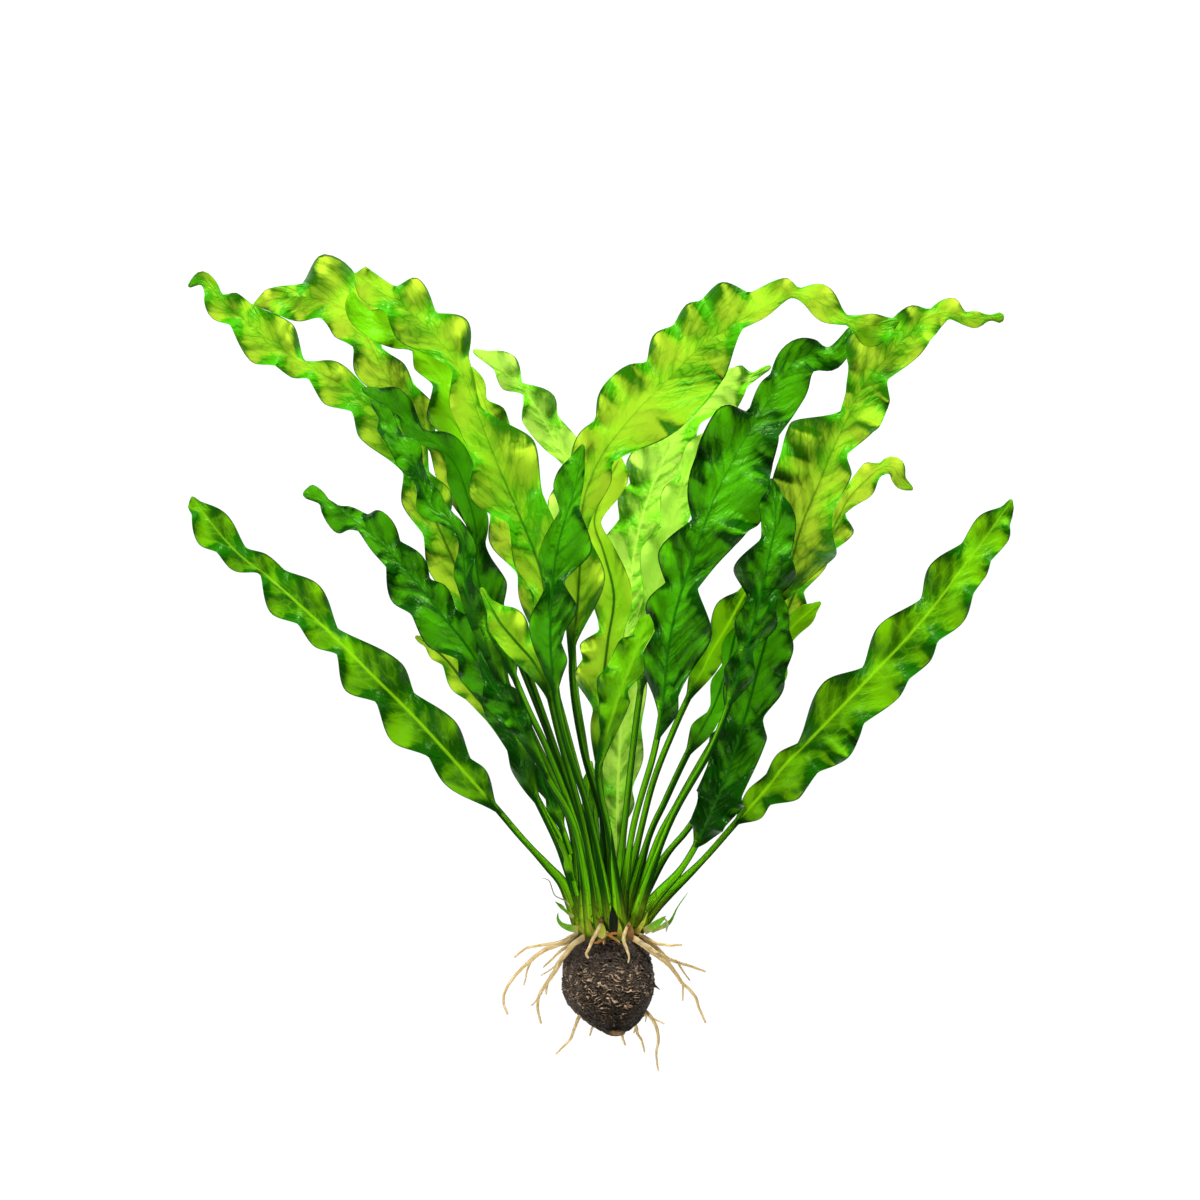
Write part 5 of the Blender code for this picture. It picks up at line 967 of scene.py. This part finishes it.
def tubeRings(points, radii, around, step):
    # a root that wanders a little and has slight knobs, with a round tip; its radii are spread along it
    line = smoothRun(points, rootBuild["perSpan"])
    lengths = runLengths(line)
    total = lengths[-1]
    run = np.append(np.arange(0, total - 0.3, step), [total - 0.15, total - 0.03, total])
    centre = pickAt(line, lengths, run)
    for i, p in enumerate(centre):
        drift = noise.noise_vector(Vector(p) / 3.0)
        centre[i] += np.array(drift) * rootBuild["wander"] * min(1.0, run[i] / 3)
    along = unit(np.gradient(centre, axis=0))
    side = np.zeros_like(centre)
    side[0] = np.cross(along[0], (0, 0, 1))
    for i in range(1, len(run)):
        side[i] = side[i - 1] - along[i] * (side[i - 1] @ along[i])
    side = unit(side)
    over = np.cross(along, side)
    end = radii[-1]
    radius = np.interp((run / total) ** 0.8, np.linspace(0, 1, len(radii)), radii)
    radius *= np.sqrt(np.clip(1 - np.clip((run - total + end) / end, 0, 1) ** 2, 0.01, 1))
    turn = np.arange(around) / around * 2 * math.pi
    rings = np.zeros((len(run), around, 3))
    for i, c in enumerate(centre):
        for j, angle in enumerate(turn):
            out = side[i] * math.cos(angle) + over[i] * math.sin(angle)
            knob = 1 + rootBuild["knobs"] * noise.noise(Vector(c + out * radius[i]) / 1.3)
            rings[i, j] = c + out * radius[i] * knob
    rings[..., 2] = np.maximum(rings[..., 2], 0.03)
    maps = np.zeros((len(run), around, 2))
    maps[..., 0] = turn / (2 * math.pi)
    maps[..., 1] = (run / total)[:, None]
    return rings, {"skin": maps}


def tubeMesh(name, points, radii, around=rootBuild["around"], step=rootBuild["step"]):
    return loft(name, *tubeRings(points, radii, around, step))


def rootedAt(point):                    # a place inside the plant that a root starts from
    x, y, z = point
    return x * 0.7, y + 2.0, tuber["axisZ"] + (z - tuber["axisZ"]) * 0.85


def unionOf(name, first, second):       # one closed mesh of two that cross
    pair = [addObject(name + part, mesh) for part, mesh in (("_a", first), ("_b", second))]
    join = pair[0].modifiers.new("join", "BOOLEAN")
    join.operation = "UNION"
    join.object = pair[1]
    seen = pair[0].evaluated_get(bpy.context.evaluated_depsgraph_get())
    mesh = bpy.data.meshes.new_from_object(seen)
    for item in pair:
        bpy.data.objects.remove(item)
    return mesh


def makeRoots():
    skin = rootFinish()
    for name, root in roots.items():
        radii = [r * rootBuild["plump"] for r in root["radius"]]
        pieceName = name + "_root"
        points = root["points"] if "free" in root else (rootedAt(root["points"][0]), *root["points"])
        mesh = tubeMesh(pieceName, points, radii)
        if "branch" in root:
            thin = (radii[-1] * 1.1, rootBuild["branchTip"])
            mesh = unionOf(pieceName, mesh, tubeMesh(pieceName + "_side", root["branch"], thin))
        place(pieceName, mesh, skin, "root", "root_" + name)
    for index, points in enumerate(rootlets):
        pieceName = f"rootlet_{index + 1}"
        mesh = tubeMesh(pieceName, points, rootBuild["fine"], rootBuild["fineAround"], rootBuild["fineStep"])
        place(pieceName, mesh, skin, "root")
    print("roots:", len(roots), "and", len(rootlets), "fine ones")


# scales, named after their nodes: withered leaf bases, thin and curled: x, y, z, half-width

scales = {
    "left": ((-9, 1.2, 20, 1.1), (-12.4, 1.6, 20.6, 1.2), (-15.4, 2.8, 21, 0.8), (-16.8, 4.8, 21.4, 0.5),
             (-16.7, 7.0, 21.6, 0.2)),
    "left_upper": ((-11.6, 5.2, 19.6, 0.6), (-14.4, 7.6, 20, 0.5), (-15.6, 8.8, 20.2, 0.7),
                   (-17.8, 10.6, 20.6, 0.2)),
    "right": ((12.2, 0.6, 20, 1.2), (15.0, 2.2, 20.6, 1.3), (17.4, 4.0, 21, 1), (19.4, 5.7, 21.4, 0.4)),
    "right_lower": ((14.6, 0.6, 17, 0.8), (17.4, 1.6, 17.4, 0.7), (19.6, 2.8, 17.8, 0.9),
                    (21.2, 4.2, 18, 0.5), (23.4, 8.6, 18.4, 0.22), (26.8, 13.5, 19, 0.18)),
}

# small withered sheaths and fibres round the crown: colouring, then x, y, z, half-width
sheaths = {
    # painted shade: this sheath is painted near black to stand for the shade in the gap at the crown's
    # middle
    "dark_sheath": ("dark", (2.2, -0.8, 30, 1.5), (1.9, 2.4, 31.4, 1.5), (1.6, 5.6, 32.6, 1.2),
                    (1.5, 8.0, 33.4, 0.7), (1.6, 10.2, 33.8, 0.12)),
    "gold_sheath": ("straw", (4.0, -0.6, 30.6, 0.9), (4.0, 1.6, 31.8, 0.75), (3.7, 3.6, 32.2, 0.4),
                    (3.5, 5.4, 32.2, 0.2)),
    "left_cap": ("brown", (-2.5, 3.8, 32.3, 0.5), (-2.4, 4.8, 32.5, 0.6), (-2.3, 5.9, 32.2, 0.25)),
    "right_cap": ("brown", (6.7, 2.4, 32.2, 0.6), (7.0, 3.2, 32.3, 0.65), (7.2, 4.1, 31.9, 0.3)),
    "left_sheath": ("straw", (-5.2, 0.4, 30.4, 0.6), (-6.0, 2.6, 31, 0.6), (-6.9, 5, 31, 0.45),
                    (-7.4, 8.2, 30.6, 0.15)),
    "left_flap": ("husk", (-2.5, -1.2, 30.8, 0.9), (-1.9, 0.2, 31.4, 1.3), (-1.9, 2, 31.7, 1.0),
                  (-2.3, 4.6, 31.9, 0.25)),
    "right_flap": ("brown", (7.5, -2.2, 30.2, 0.8), (7.6, 0.2, 31.2, 1.1), (7.4, 2.2, 31.6, 0.9),
                   (7.1, 3.8, 31.6, 0.3)),
    "right_sheath": ("straw", (9.6, 0.2, 27.6, 0.8), (10.9, 2.2, 28.4, 0.8), (12.3, 4.6, 28.2, 0.5),
                     (13.4, 7.2, 27.6, 0.15)),
    "low_sheath": ("straw", (-7.4, 0.2, 27.6, 0.9), (-9.0, 1.8, 28, 0.7), (-10.4, 3.4, 27.4, 0.3)),
    "curl_fibre": ("fibre", (-13, 9.4, 19.4, 0.26), (-14.8, 11, 19.8, 0.22), (-17.6, 12.4, 20.2, 0.2),
                   (-18.6, 14.4, 20.4, 0.2), (-19.8, 17.6, 20.6, 0.18), (-22.4, 18.4, 20.4, 0.12)),
    "right_fibre": ("fibre", (18.6, 5.2, 20.4, 0.3), (20, 3.4, 20.4, 0.34), (19.7, 1.4, 20, 0.3),
                    (19.5, 0.2, 19.8, 0.15)),
    "dark_spur": ("brown", (13.6, -15.6, 15, 0.6), (15.2, -17.4, 14.5, 0.5), (17.6, -19.4, 13.6, 0.12)),
    "left_fibre": ("rust", (-5.4, -2.6, 30.6, 0.3), (-3.8, -2.9, 31.0, 0.4), (-2.4, -2.3, 31.2, 0.4),
                   (-1.2, -2.2, 31.2, 0.35), (-1.2, -3.5, 31, 0.2)),
    "cross_fibre": ("rust", (-0.4, 0.2, 31, 0.5), (1.0, -0.7, 31.4, 0.5), (2.4, -1.8, 31.2, 0.35),
                    (4.1, -3.3, 30.8, 0.2)),
    "crown_fibre": ("rust", (0.8, 0.1, 31.2, 0.4), (2.4, 0.3, 31.5, 0.45), (4.0, 0.0, 31.3, 0.3)),
}

scaleBuild = {"across": (0, 0.25, 0.5, 0.75, 0.93, 1), "perSpan": 10, "step": 0.5, "thick": 0.4,
              "curl": 0.35}

# colouring: at the base, further out, how dry it is, and the share of light that goes through
sheathKinds = {
    "green": ((0.55, 0.46, 0.14), (0.11, 0.34, 0.008), 0.4, 0.25),
    "straw": ((0.30, 0.16, 0.03), (0.26, 0.32, 0.02), 0.8, 0.25),
    "husk": ((0.55, 0.42, 0.12), (0.30, 0.36, 0.02), 0.5, 0.25),
    "brown": ((0.12, 0.055, 0.016), (0.16, 0.08, 0.022), 0.6, 0.1),
    # dark: near-black painted shade for the gap in the crown's middle
    "dark": ((0.022, 0.012, 0.003), (0.002, 0.005, 0.0005), 0.2, 0.1),
    "rust": ((0.36, 0.17, 0.035), (0.28, 0.12, 0.025), 0.7, 0.25),
    "fibre": ((0.40, 0.36, 0.22), (0.34, 0.38, 0.24), 0.5, 0.25),
}


def scaleFinish(kind):
    base, outer, dryness, through = sheathKinds[kind]
    f = Finish(kind + "_sheath")
    spot = f.inMillimetres()
    side, run = f.pair("skin")
    streak = f.cloud(f.vector(side * 2, run * 0.6), 3.0, 4.0)
    dry = (1 - run.ramp(0.05, 0.4)).orMore(f.cloud(spot, 0.7, 3.0).ramp(0.52, 0.66) * dryness)
    colour = f.blend(streak.ramp(0.35, 0.65) * 0.5, outer, [min(1, c * 1.6) for c in outer])
    colour = f.blend(dry * 0.9, colour, base)
    skin = f.surface(Base_Color=colour, Roughness=0.5 + streak * 0.2, Specular_IOR_Level=0.12,
                     Normal=f.bump(streak, 0.3))
    return f.litThrough(through, skin, [min(1, c * 1.5 + 0.02) for c in outer])


def scaleRings(rib):
    b = scaleBuild
    line = smoothRun(rib, b["perSpan"])
    lengths = runLengths(line)
    total = lengths[-1]
    run = np.append(np.arange(0, total - 0.3, b["step"]), [total - 0.1, total])
    spot = pickAt(line, lengths, run)
    centre = spot[:, :3]
    width = np.maximum(spot[:, 3] * np.sqrt(np.clip(1 - (run / total) ** 8, 0.01, 1)), 0.06)
    along = unit(np.gradient(centre, axis=0))
    across = unit(np.cross(along, (0, 0, 1)))
    up = np.cross(across, along)
    top, under, maps = [], [], []
    for share in bothSides(b["across"]):
        bow = width * b["curl"] * share ** 2
        skin = b["thick"] * np.minimum(1, width) * math.sqrt(1 - share ** 2)
        base = centre + across * (share * width)[:, None]
        top.append(base + up * (bow + skin)[:, None])
        under.append(base + up * (bow - skin)[:, None])
        maps.append(np.stack([np.full_like(run, share), run / total], axis=1))
    return wrapRound(top, under), {"skin": wrapRound(maps, maps)}


def makeScales():
    skins = {kind: scaleFinish(kind) for kind in sheathKinds}
    for name, rib in scales.items():
        mesh = loft(name + "_scale", *scaleRings(rib))
        place(name + "_scale", mesh, skins["green"], "leaf_scale", "scale_" + name)
    for name, (kind, *rib) in sheaths.items():
        place(name, loft(name, *scaleRings(rib)), skins[kind], "leaf_scale")
    print("scales:", len(scales), "and", len(sheaths), "sheaths")


# studio: a pale lit floor, soft light from the leaves' end, and a long lens straight above

studio = {
    "frameWidth": 400.0, "frameMiddle": (-2.67, 127.67), "focusHeight": 40.0, "cameraHeight": 3200.0,
    "sensor": 36.0, "floorColour": (0.06, 0.06, 0.06), "floorGlow": 1.0, "air": 0.11,
    # from here on in metres; a light has a place, a size and its power in watts
    "seesTo": 100, "floorSize": 6.0, "aim": (0, 0.12, 0),
    "lights": (("window", (0.0, 1.65, 0.8), 0.55, 105.0), ("fill", (-1.4, -0.6, 0.9), 1.0, 5.0),
               ("lamp", (-0.25, -0.35, 0.6), 0.3, 5.0)),
}


def makeStudio():
    floorMesh = bpy.data.meshes.new("floor")
    half = studio["floorSize"] / 2
    corners = [(-half, -half, 0), (half, -half, 0), (half, half, 0), (-half, half, 0)]
    floorMesh.from_pydata(corners, [], [(0, 1, 2, 3)])
    f = Finish("floor_white")
    floorMesh.materials.append(f.done(f.surface(
        Base_Color=studio["floorColour"], Roughness=0.8, Specular_IOR_Level=0.1,
        Emission_Color=(1, 1, 1), Emission_Strength=studio["floorGlow"])))
    floor = addObject("floor", floorMesh)

    world = bpy.data.worlds.new("soft_air")
    world.use_nodes = True
    air = world.node_tree.nodes["Background"].inputs
    air["Color"].default_value = (1, 1, 1, 1)
    air["Strength"].default_value = studio["air"]
    bpy.context.scene.world = world

    for name, spot, size, power in studio["lights"]:
        lamp = bpy.data.lights.new(name, "AREA")
        lamp.size = size
        lamp.energy = power
        item = addObject(name, lamp)
        item.location = spot
        item.rotation_mode = "QUATERNION"
        item.rotation_quaternion = (Vector(studio["aim"]) - Vector(spot)).to_track_quat("-Z", "Y")

    lens = bpy.data.cameras.new("camera")
    lens.sensor_width = studio["sensor"]
    reach = studio["cameraHeight"] - studio["focusHeight"]
    lens.lens = studio["sensor"] * reach / studio["frameWidth"]
    lens.clip_end = studio["seesTo"]
    camera = addObject("camera", lens)
    x, y = studio["frameMiddle"]
    camera.location = (x * mm, y * mm, studio["cameraHeight"] * mm)
    bpy.context.scene.camera = camera
    bpy.context.scene.view_settings.view_transform = "Standard"
    print("studio: floor, lights and camera")


makeLeaves()
makeTuber()
makeRoots()
makeScales()
makeStudio()
